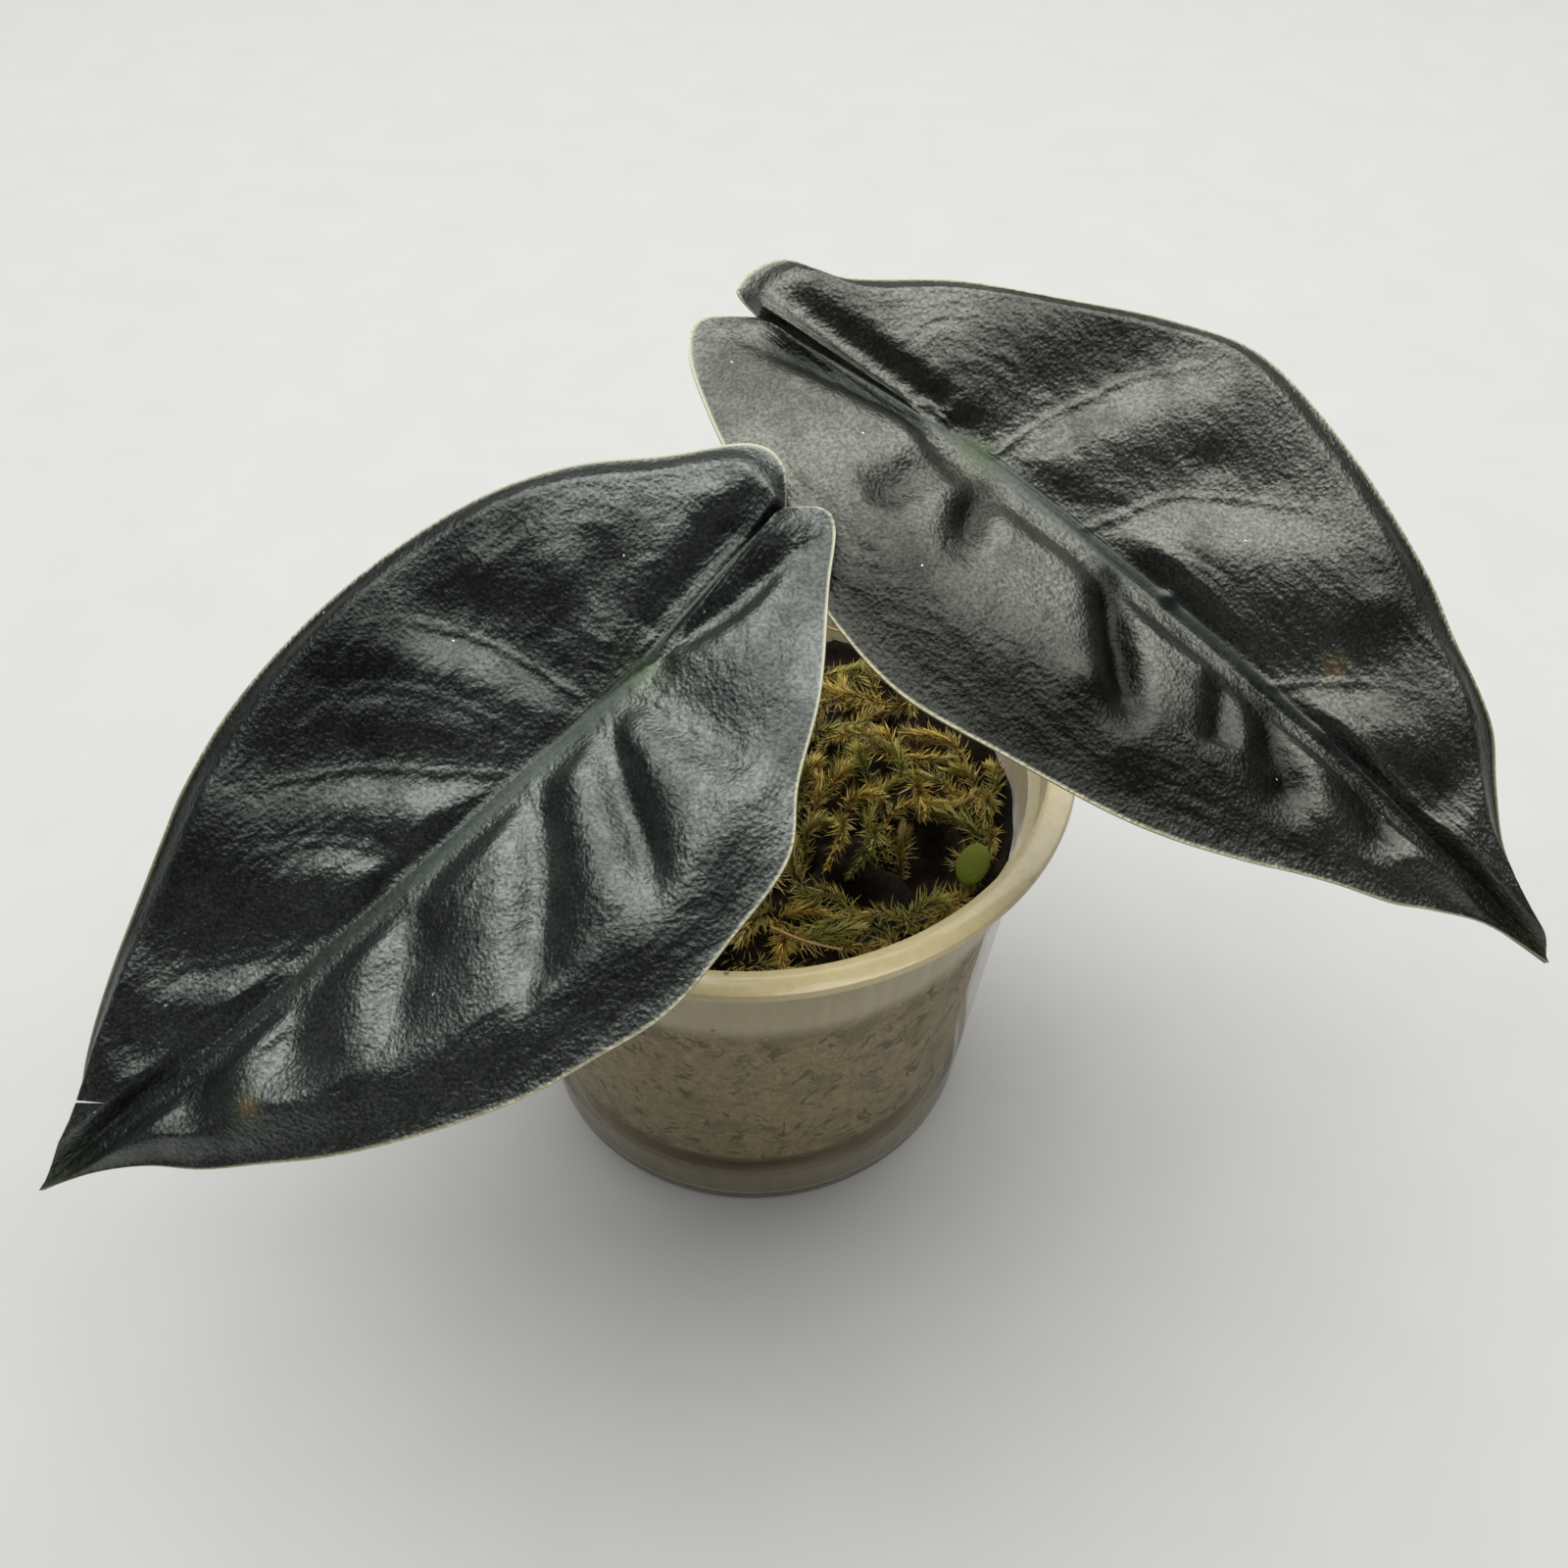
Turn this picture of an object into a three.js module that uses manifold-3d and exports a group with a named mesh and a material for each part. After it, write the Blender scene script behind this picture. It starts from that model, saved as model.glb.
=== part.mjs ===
// A small black-leaved alocasia in a clear plastic pot filled with long-fibre moss.
// Millimetres, +Z up. The origin is the centre of the pot's foot, on the table.
// +X runs to the side of the right-hand leaf, and -Y is the front.

import * as THREE from 'three';
import { mergeVertices } from 'three/addons/utils/BufferGeometryUtils.js';
import Module from 'manifold-3d';

const wasm = await Module();
wasm.setup();

// Driving dimensions of the pot
const POT_HEIGHT = 66;
const RIM_RADIUS = 44.5;
const MOUTH_RADIUS = 40.6;
const FOOT_RADIUS = 33.5;
const RIM_THICK = 1.6;
const COLLAR_RADIUS = 41.4;
const COLLAR_DROP = 3.6;
const SHOULDER_RADIUS = 39.8;
const WALL = 1.2;
const FLOOR_UNDERSIDE = 4.6;
const FLOOR_THICK = 1.4;
const CORNER_ROUNDING = 6;
const FOOT_RING_WIDTH = 1.6;
const HUB_RADIUS = 7;
const DRAIN_HOLES = 6;
const DRAIN_RADIUS = 2.4;
const DRAIN_CIRCLE = 19;
const POT_SIDES = 48;

// Driving dimensions of the moss
const GAP = 0.35;
const MOSS_LEVEL = 54.5;
const MOSS_EDGE_DIP = 3.5;
const MOSS_LUMPS = 1.3;
const MOSS_CEILING = 59.5;
const MOSS_RINGS = 6;
const MOSS_SIDES = 32;
const SHOOT_COUNT = 50;
const SHOOT_LENGTH = 12.5;
const SHOOT_RADIUS = 2.2;
const SHOOT_SIDES = 5;
const SHOOT_SCALLOPS = [1.0, 0.75, 1.05, 0.75, 0.35];
const SHOOT_SEED = 41;

// Driving dimensions of the stem, its sheaths and the leaf stalks
const STEM_RADIUS = 6.8;
const STEM_FOOT = 40;
const STEM_TOP = 59;
const STEM_PLACE = [-1.5, 0.5];
const STEM_SIDES = 24;
const SOCKETS = [[-2.7, -1.5], [2.7, 1.5]];
const SHEATH_RADIUS = 3.6;
const SHEATH_HEIGHT = 9;
const SHEATH_SLANT = 0.62;
const STALK_BASE_RADIUS = 2.4;
const STALK_TOP_RADIUS = 1.45;
const STALK_FLARE = 0.8;
const STALK_SIDES = 10;
const STALK_STEPS = 16;

// Driving dimensions that both leaf blades share
const BLADE_THICK = 0.95;
const MIDRIB_DEPTH = 1.3;
const BOSS_DEPTH = 1.0;
const BOSS_RADIUS = 4;
const VEIN_DEPTH = 0.35;
const PILLOW_HEIGHT = 2.6;
const PILLOW_RISE = 4;
const LEAST_HOLLOW = 2.2;
const VEIN_WIDTH = 1.2;
const VEIN_STEPS = 6;
const KEEL_SLOPE = 0.27;
const KEEL_EASE = 0.35;
const HALF_WIDTH = 31;
const TIP_DROOP = 9;
const BACK_DROOP = 3;
const BACK_REACH = 30;
const VEIN_BOW = 0.45;
const ACROSS = [0, 0.06, 0.15, 0.28, 0.42, 0.57, 0.72, 0.87, 1];
const STEPS_PER_ROW = 3;

// Each blade lies in its own frame: X from the stalk joint to the tip, Y across to the
// left of that, Z out of the upper face. A row is one line across the blade along the
// side veins: the place on the midrib where it starts and its ends on the left and right
// margins. Rows run from the notch to the tip.
// The blade is pillowed between its veins. A vein has its depth as a share of the
// pillows' height, how far its hollow reaches towards the notch and towards the tip, and
// the places it passes. Shelf is how far from the midrib the pillows start, and brim how
// far out they begin to fall, as a share of the way to the margin. A swelling has a
// place, a radius and a height.
const LEFT_BLADE = {
  name: 'blade_left',
  joint: [-11.6, -30.7, 102.4],
  heading: 209,
  dip: 26.3,
  roll: -22.4,
  length: 87.5,
  midribBow: 2.2,
  rows: [
    [-24.6, [-24.6, -5], [-24.6, -5]],
    [-5, [-28, -1.5], [-27.3, -8.9]],
    [-2.5, [-22.5, 5.5], [-25.9, -12.7]],
    [-1.5, [-15, 14.6], [-17.9, -16.9]],
    [-0.7, [-7.5, 21.1], [-9, -22.2]],
    [0, [-2.2, 26.7], [0.8, -25.5]],
    [1.5, [6.5, 29.4], [12.3, -27]],
    [3.5, [16.1, 31.3], [23.9, -26.9]],
    [9, [24.8, 30.3], [35.6, -25.2]],
    [15, [32.6, 28.9], [45.1, -22.1]],
    [22.5, [40.6, 26.3], [50.9, -19.2]],
    [30.5, [48.7, 22.9], [57.1, -16]],
    [38.5, [54.8, 19.8], [63.4, -12.8]],
    [46.5, [61.1, 15.9], [68.6, -9.9]],
    [56, [67.4, 11.9], [72.8, -7.2]],
    [66, [73.3, 7.1], [76.9, -4.1]],
    [77, [80, 3.1], [81.5, -1.5]],
    [87.5, [87.5, 0], [87.5, 0]],
  ],
  shelf: { left: 1.2, right: 0.8 },
  brim: { left: 0.7, right: 0.88 },
  veins: {
    left: [
      [0.9, 3, 1.5, [[-8, 0.6], [-15, 1], [-24, -1]]],
      [0.9, 6, 3, [[0, 1], [-1.6, 6], [-4.4, 15.3], [-6, 19.5]]],
      [1, 2.6, 2.2, [[4.2, 1.6], [5.8, 5.3], [7.2, 10.1], [8.7, 15.7], [10.2, 20.1], [13.5, 25.9]]],
      [1, 3.4, 2.2, [[14.7, 2.5], [16.3, 6.3], [18.8, 11.2], [21.8, 15.4], [25.5, 20.6], [29.1, 24.9]]],
      [0.8, 5, 3, [[32, 3], [34.1, 7.6], [37.8, 12.2], [43.3, 18.6]]],
      [0.8, 5, 3, [[46, 3], [49.9, 7.1], [55.6, 12.3]]],
      [0.6, 4, 3, [[60, 2], [63.9, 5], [66.8, 8.2]]],
    ],
    right: [
      [1, 2, 2.5, [[-6, -2.5], [-16, -4.7], [-25, -7]]],
      [0.5, 4, 3, [[-3.3, -4], [-4, -8.9], [-7, -15.4]]],
      [1, 9, 4.5, [[5, -1.9], [6.8, -7], [8.7, -11.5], [11.4, -15.9], [14.7, -19.4], [21, -23.5]]],
      [0.45, 3, 2.5, [[12.5, -3], [15.9, -9.8], [20.3, -15.2], [25.6, -18.6], [31.2, -21.4]]],
      [1, 8, 4.5, [[16.6, -1], [21.7, -5.2], [26.1, -9.2], [30.2, -12], [38.5, -16.2], [44.3, -17.5]]],
      [0.6, 5, 3, [[31, -1], [32.5, -3.6], [35.7, -6.9], [40.2, -9.3], [46.7, -12.6]]],
      [0.9, 8, 4, [[45, 0], [48, -2], [56.9, -6.9], [63.7, -9.7]]],
      [0.5, 4, 3, [[61, 0], [65, -2.6], [69.9, -4.9]]],
    ],
  },
  swellings: [
    [[-3.5, 17.4], 3.2, 0.5],
    [[14.1, 17.9], 3, 0.6],
    [[35.7, 13.1], 2.4, 0.5],
    [[4.7, -18.4], 3, 0.7],
    [[-2.7, -12.9], 3, 0.7],
    [[-18.3, -9.2], 2.4, 0.6],
    [[-19, 4], 2.5, -0.6],
  ],
  tear: { from: [78, -5.2], to: [73, -1], width: 0.5 },
  socket: SOCKETS[0],
  stalk: [[-5, -4.5, 76], [-8, -15, 89]],
};

const RIGHT_BLADE = {
  name: 'blade_right',
  joint: [26.5, -2.8, 112.3],
  heading: -33.5,
  dip: 23.3,
  roll: 22.6,
  length: 87.7,
  midribBow: 1,
  rows: [
    [-30, [-30, -2.5], [-30, -2.5]],
    [-6, [-34.8, -0.5], [-34.7, -7.4]],
    [-3.5, [-33, 5], [-32.3, -12.3]],
    [-2.5, [-25, 7.4], [-25.6, -17.1]],
    [-1.5, [-14.8, 14.2], [-17.4, -21.4]],
    [-0.5, [-3.7, 20], [-7.4, -25.2]],
    [1, [7.4, 25.9], [2.5, -28.4]],
    [2.5, [18.1, 29.5], [12.2, -29.5]],
    [9, [33, 27.4], [23.9, -27.2]],
    [16, [47.2, 23.1], [35.7, -24.4]],
    [23, [54.8, 19.5], [43.6, -21.6]],
    [31, [61.3, 16.8], [51.6, -17.6]],
    [37, [65.5, 14.4], [56.7, -14.6]],
    [43, [69.4, 10.4], [61.7, -11.9]],
    [50, [73.7, 6.5], [67.8, -9]],
    [58, [77.4, 4.4], [72.4, -5.9]],
    [73, [82, 2], [79, -2.1]],
    [87.7, [87.7, 0], [87.7, 0]],
  ],
  shelf: { left: 0.8, right: 2.8 },
  brim: { left: 0.88, right: 0.6 },
  veins: {
    left: [
      [0.9, 3, 1.5, [[-7, 1.2], [-16, 1], [-32, 1]]],
      [1, 7, 4.5, [[2, 1.7], [2.5, 4.4], [4, 8.9], [6.1, 13.1], [8.1, 17.5], [14.1, 23.6], [18.1, 26.6]]],
      [1, 8, 4.5, [[15, 1.4], [17, 4.5], [19.3, 8.8], [22.8, 12.4], [32.8, 18.2], [42.5, 21.3]]],
      [1, 8, 4.5, [[42.4, 1.4], [45.5, 4.5], [48.8, 7.2], [52.3, 9.7], [60.7, 12.4]]],
      [0.6, 5, 3, [[60, 0.8], [64, 3], [69, 4.9]]],
    ],
    right: [
      [0.9, 2, 2, [[-8, -1.7], [-16, -3.5], [-26, -5.6], [-33, -6]]],
      [0.5, 2.6, 2.4, [[-1, -5], [-2.6, -8.6], [-4, -12.5], [-5.6, -15.9]]],
      [0.9, 2.4, 2.2, [[3.4, -3.6], [4.2, -6], [5.4, -9.5], [8, -14.9]]],
      [1.2, 2.6, 1.8, [[20.6, -1.6], [22.3, -3.8], [24.4, -6.5], [27.8, -10], [31.4, -13.8], [34, -16.2]]],
      [0.6, 2.5, 2, [[38, -3.2], [40.7, -8.1], [41.9, -10.2]]],
      [1, 4, 2, [[43.7, -1.5], [47, -5], [50.9, -8.1], [54.8, -11.3]]],
      [0.8, 4, 2, [[58, -1], [61, -2.6], [66, -5.1]]],
    ],
  },
  swellings: [
    [[25.7, -14.2], 2.1, 0.9],
    [[43.2, -6.7], 2.2, 0.6],
    [[33.6, -18], 3, 0.5],
    [[-1.2, -7.1], 2, 0.4],
    [[45.4, 14.7], 2.4, 0.9],
    [[21, 15.7], 2, -0.5],
  ],
  socket: SOCKETS[1],
  stalk: [[2.8, 3.2, 78], [8.5, 4.5, 95]],
};

// The small green leaf that grows at the edge of the moss
const SPROUT_PLACE = [30, -15.5];
const SPROUT_STALK = 0.8;
const SPROUT_LENGTH = 6;
const SPROUT_WIDTH = 4.4;
const SPROUT_CLEARING = 3.6;
const SPROUT_ROOT = 8;
const SPROUT_SIDES = 8;

// Looks: colour, roughness
const LOOKS = {
  pot: ['#cfc4a6', 0.35],
  moss: ['#7a5f2c', 0.95],
  stem: ['#6a6a3a', 0.7],
  stalk: ['#4b4a35', 0.5],
  blade: ['#27302e', 0.4],
  sprout: ['#6f8f26', 0.5],
};

// Helpers
const degrees = (angle) => THREE.MathUtils.degToRad(angle);
const smooth = (x) => THREE.MathUtils.smoothstep(x, 0, 1);

function seededRandom(seed) {
  let state = seed;
  return () => {
    state = (state * 16807) % 2147483647;
    return state / 2147483647;
  };
}

function solidOf(geometry) {
  const bare = geometry.index ? geometry.toNonIndexed() : geometry.clone();
  bare.deleteAttribute('normal');
  bare.deleteAttribute('uv');
  const merged = mergeVertices(bare, 1e-4);
  return new wasm.Manifold(new wasm.Mesh({
    numProp: 3,
    vertProperties: new Float32Array(merged.attributes.position.array),
    triVerts: new Uint32Array(merged.index.array),
  }));
}

function geometryOf(solid) {
  const mesh = solid.getMesh();
  const geometry = new THREE.BufferGeometry();
  geometry.setAttribute('position', new THREE.BufferAttribute(mesh.vertProperties, 3));
  geometry.setIndex(new THREE.BufferAttribute(mesh.triVerts, 1));
  return geometry;
}

function lathe(profile, sides) {
  const points = profile.map(([radius, z]) => new THREE.Vector2(radius, z));
  return new THREE.LatheGeometry(points, sides).rotateX(Math.PI / 2);
}

function rod(radius, z0, z1, sides, x = 0, y = 0) {
  const geometry = new THREE.CylinderGeometry(radius, radius, z1 - z0, sides);
  return geometry.rotateX(Math.PI / 2).translate(x, y, (z0 + z1) / 2);
}

// A closed skin over rings of equally many points, with a flat fan at each end
function skin(rings) {
  const count = rings[0].length;
  const middle = (ring) => ring
    .reduce((sum, point) => sum.add(point), new THREE.Vector3())
    .divideScalar(count);
  const points = [...rings.flat(), middle(rings[0]), middle(rings.at(-1))];
  const faces = [];
  for (let k = 0; k < count; k++) {
    const next = (k + 1) % count;
    for (let i = 0; i + 1 < rings.length; i++) {
      const [a, b] = [i * count + k, i * count + next];
      faces.push(a, b, b + count, a, b + count, a + count);
    }
    const last = (rings.length - 1) * count;
    faces.push(points.length - 2, next, k);
    faces.push(points.length - 1, last + k, last + next);
  }
  const geometry = new THREE.BufferGeometry().setFromPoints(points);
  geometry.setIndex(faces);
  return geometry;
}

// A round tube along a curve, with its radius given by a function of the place on it
function taperedTube(curve, steps, sides, radiusAt) {
  const frames = curve.computeFrenetFrames(steps, false);
  const rings = [];
  for (let i = 0; i <= steps; i++) {
    const centre = curve.getPointAt(i / steps);
    const radius = radiusAt(i / steps);
    rings.push(Array.from({ length: sides }, (_, k) => {
      const turn = (2 * Math.PI * k) / sides;
      return centre.clone()
        .addScaledVector(frames.normals[i], radius * Math.cos(turn))
        .addScaledVector(frames.binormals[i], radius * Math.sin(turn));
    }));
  }
  return skin(rings);
}

// The pot: flat rim, stepped collar, tapered thin wall, raised floor on a foot ring
function wallRadius(z) {
  const t = z / (POT_HEIGHT - RIM_THICK - COLLAR_DROP);
  return THREE.MathUtils.lerp(FOOT_RADIUS, SHOULDER_RADIUS, t);
}

// Inside of the wall, from the middle of the floor up to a height, drawn in by a gap
function insideProfile(top, gap) {
  const floor = FLOOR_UNDERSIDE + FLOOR_THICK + gap;
  const rounding = CORNER_ROUNDING;
  const wall = (z) => wallRadius(z) - WALL - gap;
  const points = [[0, floor]];
  for (let k = 0; k <= 4; k++) {
    const turn = (k / 4) * (Math.PI / 2);
    const z = floor + rounding * (1 - Math.cos(turn));
    points.push([wall(z) - rounding * (1 - Math.sin(turn)), z]);
  }
  points.push([wall(top), top]);
  return points;
}

function makePot() {
  const underRim = POT_HEIGHT - RIM_THICK;
  const collarFoot = underRim - COLLAR_DROP;
  const inside = insideProfile(collarFoot - 1, 0);
  const footInner = FOOT_RADIUS - FOOT_RING_WIDTH;
  const profile = [
    [0, 0],
    [HUB_RADIUS, 0],
    [HUB_RADIUS - 0.5, FLOOR_UNDERSIDE],
    [footInner - 0.4, FLOOR_UNDERSIDE],
    [footInner, 0.4],
    [footInner + 0.3, 0],
    [FOOT_RADIUS - 0.4, 0],
    [FOOT_RADIUS, 0.5],
    [SHOULDER_RADIUS, collarFoot],
    [COLLAR_RADIUS, collarFoot + 0.6],
    [COLLAR_RADIUS + 0.2, underRim],
    [RIM_RADIUS - 0.3, underRim],
    [RIM_RADIUS, underRim + 0.4],
    [RIM_RADIUS, POT_HEIGHT - 0.5],
    [RIM_RADIUS - 0.6, POT_HEIGHT],
    [MOUTH_RADIUS + 0.4, POT_HEIGHT],
    [MOUTH_RADIUS, POT_HEIGHT - 0.5],
    [COLLAR_RADIUS - WALL - 0.2, collarFoot + 0.2],
    ...inside.reverse(),
  ];
  let pot = solidOf(lathe(profile, POT_SIDES));
  for (let k = 0; k < DRAIN_HOLES; k++) {
    const turn = (2 * Math.PI * k) / DRAIN_HOLES;
    const [x, y] = [DRAIN_CIRCLE * Math.cos(turn), DRAIN_CIRCLE * Math.sin(turn)];
    pot = pot.subtract(solidOf(rod(DRAIN_RADIUS, 1, 12, 12, x, y)));
  }
  return geometryOf(pot);
}

// The moss: a filling that takes the pot's inner shape, with a lumpy top and fused shoots
function mossHeight(x, y) {
  const radius = Math.hypot(x, y);
  const edge = radius / (wallRadius(MOSS_LEVEL) - WALL);
  const lumps = Math.sin(x * 0.31 + 1.3) * Math.cos(y * 0.27 - 0.6)
    + 0.6 * Math.sin(x * 0.55 - y * 0.47 + 2.1)
    + 0.4 * Math.cos(x * 0.83 + y * 0.71);
  const calm = smooth((radius - STEM_RADIUS) / 8);
  return MOSS_LEVEL - MOSS_EDGE_DIP * edge ** 6 + MOSS_LUMPS * lumps * calm;
}

function mossBody() {
  const side = insideProfile(MOSS_LEVEL - 8, GAP);
  const points = side.map(([radius, z]) => [radius, () => z]);
  const edge = wallRadius(MOSS_LEVEL) - WALL - GAP - 0.3;
  for (let k = 0; k < MOSS_RINGS; k++) {
    points.push([edge * Math.sqrt(1 - k / MOSS_RINGS), mossHeight]);
  }
  points.push([0, mossHeight]);
  const geometry = lathe(points.map(([radius], i) => [radius, i]), MOSS_SIDES);
  const place = geometry.attributes.position;
  for (let i = 0; i < place.count; i++) {
    const level = points[Math.round(place.getZ(i))][1];
    place.setZ(i, level(place.getX(i), place.getY(i)));
  }
  return solidOf(geometry);
}

// One leafy shoot: an arched, scalloped taper that rises from the moss and dips again
function mossShoot(x, y, heading, random) {
  const length = SHOOT_LENGTH * (0.75 + 0.5 * random());
  const lift = 1.2 + 3.2 * random();
  const radius = SHOOT_RADIUS * (0.75 + 0.45 * random());
  const bend = (random() - 0.5) * 0.7 * length;
  const along = new THREE.Vector3(Math.cos(heading), Math.sin(heading), 0);
  const aside = new THREE.Vector3(-along.y, along.x, 0);
  const start = new THREE.Vector3(x, y, mossHeight(x, y));
  const at = (forward, sideways, up) => start.clone()
    .addScaledVector(along, forward * length)
    .addScaledVector(aside, sideways * bend)
    .add(new THREE.Vector3(0, 0, up));
  const curve = new THREE.CatmullRomCurve3([
    at(-0.5, 0.3, -3.4), at(-0.15, 0, lift * 0.6), at(0.2, 0.1, lift), at(0.5, 0.4, lift * 0.5),
  ]);
  const steps = SHOOT_SCALLOPS.length - 1;
  const radiusAt = (t) => radius * SHOOT_SCALLOPS[Math.round(t * steps)];
  return solidOf(taperedTube(curve, steps, SHOOT_SIDES, radiusAt));
}

function makeMoss() {
  const random = seededRandom(SHOOT_SEED);
  const goldenAngle = Math.PI * (3 - Math.sqrt(5));
  const reach = wallRadius(MOSS_LEVEL) - WALL - 3.5;
  const pieces = [mossBody()];
  for (let k = 0; k < SHOOT_COUNT; k++) {
    const radius = reach * Math.sqrt((k + 3) / (SHOOT_COUNT + 2));
    const turn = k * goldenAngle;
    const [x, y] = [radius * Math.cos(turn), radius * Math.sin(turn)];
    const heading = random() * 2 * Math.PI;
    const ahead = Math.hypot(x + 6 * Math.cos(heading), y + 6 * Math.sin(heading));
    const outward = ahead > reach + 1 ? heading + Math.PI : heading;
    pieces.push(mossShoot(x, y, outward, random));
  }
  const inside = [...insideProfile(MOSS_CEILING, GAP), [0, MOSS_CEILING]];
  const room = solidOf(lathe(inside, MOSS_SIDES));
  const stemHole = solidOf(
    rod(STEM_RADIUS + GAP, STEM_FOOT - GAP, POT_HEIGHT, STEM_SIDES, ...STEM_PLACE));
  const sproutFoot = MOSS_LEVEL - SPROUT_ROOT;
  const sproutHole = solidOf(
    rod(SPROUT_STALK + GAP, sproutFoot - GAP, POT_HEIGHT, SPROUT_SIDES, ...SPROUT_PLACE));
  const clearing = solidOf(
    rod(SPROUT_CLEARING, MOSS_LEVEL + GAP, POT_HEIGHT, 2 * SPROUT_SIDES, ...SPROUT_PLACE));
  const moss = wasm.Manifold.union(pieces).intersect(room)
    .subtract(wasm.Manifold.union([stemHole, sproutHole, clearing]));
  const whole = moss.decompose().sort((a, b) => b.volume() - a.volume())[0];
  return geometryOf(whole);
}

function socketPlace([x, y]) {
  return [STEM_PLACE[0] + x, STEM_PLACE[1] + y];
}

// The stem: a short corm with a slanted sheath cup round the base of each leaf stalk
function makeStem() {
  const corm = lathe([
    [0, STEM_FOOT],
    [STEM_RADIUS * 0.6, STEM_FOOT],
    [STEM_RADIUS * 0.95, STEM_FOOT + 5],
    [STEM_RADIUS, STEM_FOOT + 10],
    [STEM_RADIUS * 0.97, STEM_TOP - 2],
    [STEM_RADIUS * 0.9, STEM_TOP],
    [0, STEM_TOP],
  ], STEM_SIDES);
  let stem = solidOf(corm);
  for (const [x, y] of SOCKETS) {
    const sheath = lathe([
      [0, STEM_TOP - 4],
      [SHEATH_RADIUS, STEM_TOP - 4],
      [SHEATH_RADIUS - 0.35, STEM_TOP + SHEATH_HEIGHT],
      [0, STEM_TOP + SHEATH_HEIGHT],
    ], 16).translate(x, y, 0);
    const slant = new THREE.BoxGeometry(40, 40, 20).translate(0, 0, 10)
      .rotateX(y > 0 ? -SHEATH_SLANT : SHEATH_SLANT)
      .rotateZ(Math.atan2(y, x) * 0.4)
      .translate(x, y, STEM_TOP + SHEATH_HEIGHT * 0.6);
    stem = stem.add(solidOf(sheath).subtract(solidOf(slant)));
  }
  for (const [x, y] of SOCKETS) {
    stem = stem.subtract(solidOf(rod(STALK_BASE_RADIUS + GAP, STEM_TOP, STEM_TOP + 30, 16, x, y)));
  }
  return geometryOf(stem).translate(STEM_PLACE[0], STEM_PLACE[1], 0);
}

// Height of the blade's smooth surface over its own plane
function bladeRise(x, y, length) {
  const arch = x > 0 ? -TIP_DROOP * (x / length) ** 2 : -BACK_DROOP * (x / BACK_REACH) ** 2;
  const along = THREE.MathUtils.clamp(x / length, 0, 0.96);
  const half = HALF_WIDTH * Math.sqrt(1 - along * along);
  return arch + KEEL_SLOPE * Math.abs(y) * (1 - (KEEL_EASE * Math.abs(y)) / half);
}

// How far a place lies from a vein, towards the tip positive, and how far along it, 0 to 1
function fromVein(line, side, place) {
  let nearest = { gap: Infinity, share: 0 };
  for (let k = 0; k + 1 < line.length; k++) {
    const way = line[k + 1].clone().sub(line[k]);
    const off = place.clone().sub(line[k]);
    const t = THREE.MathUtils.clamp(off.dot(way) / way.lengthSq(), 0, 1);
    const distance = off.distanceTo(way.clone().multiplyScalar(t));
    if (distance < Math.abs(nearest.gap)) {
      const tipward = way.cross(off) * (side === 'left' ? -1 : 1);
      nearest = { gap: distance * Math.sign(tipward), share: (k + t) / (line.length - 1) };
    }
  }
  return nearest;
}

function veinLine(stops) {
  const curve = new THREE.SplineCurve(stops.map((stop) => new THREE.Vector2(...stop)));
  return curve.getPoints(VEIN_STEPS * (stops.length - 1));
}

function bladeShape(blade) {
  const last = blade.rows.length - 1;
  const notch = blade.rows[0][1];
  const spline = (column) => new THREE.SplineCurve(
    blade.rows.map((row) => new THREE.Vector2(...row[column])));
  const margins = { left: spline(1), right: spline(2) };
  const veins = {};
  for (const side of ['left', 'right']) {
    veins[side] = blade.veins[side].map(([depth, behind, ahead, stops]) => (
      { depth, behind, ahead, line: veinLine(stops) }));
  }
  const rootAt = (q) => {
    const k = Math.min(Math.floor(q), last - 1);
    return THREE.MathUtils.lerp(blade.rows[k][0], blade.rows[k + 1][0], q - k);
  };
  const midrib = (root) => {
    const back = (notch[1] * root) / notch[0];
    const front = blade.midribBow * Math.sin((Math.PI * root) / blade.length);
    return new THREE.Vector2(root, root < 0 ? back : front);
  };
  const flat = (side, q, r) => {
    const from = midrib(rootAt(q));
    const to = margins[side].getPoint(q / last);
    const bow = VEIN_BOW * (to.x - from.x) * r * (1 - r);
    return new THREE.Vector2(from.x + (to.x - from.x) * r - bow, from.y + (to.y - from.y) * r);
  };
  const relief = (side, q, r, place) => {
    const across = place.distanceTo(midrib(rootAt(q)));
    const brim = blade.brim[side];
    let height = PILLOW_HEIGHT * smooth((across - blade.shelf[side]) / PILLOW_RISE)
      * (1 - smooth((r - brim) / (1 - brim)));
    let ridge = 0;
    for (const vein of veins[side]) {
      const { gap, share } = fromVein(vein.line, side, place);
      const fade = 1 - smooth((share - 0.6) / 0.4);
      const reach = Math.max(gap < 0 ? vein.behind : vein.ahead, LEAST_HOLLOW);
      height *= 1 - vein.depth * fade * Math.exp(-((gap / reach) ** 2));
      ridge = Math.max(ridge, fade * Math.exp(-((gap / VEIN_WIDTH) ** 2)));
    }
    for (const [spot, radius, swelling] of blade.swellings) {
      height += swelling * Math.exp(-place.distanceToSquared(new THREE.Vector2(...spot)) / radius ** 2);
    }
    return { height, ridge };
  };
  const thick = (q, r, place, ridge) => {
    const fade = smooth((last - q) / 5);
    const rib = MIDRIB_DEPTH * Math.exp(-((r / 0.05) ** 2)) * fade * (rootAt(q) < 0 ? 0.7 : 1);
    const boss = BOSS_DEPTH * Math.exp(-place.lengthSq() / BOSS_RADIUS ** 2);
    return BLADE_THICK + rib + boss + VEIN_DEPTH * ridge;
  };
  return { last, flat, relief, thick };
}

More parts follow.
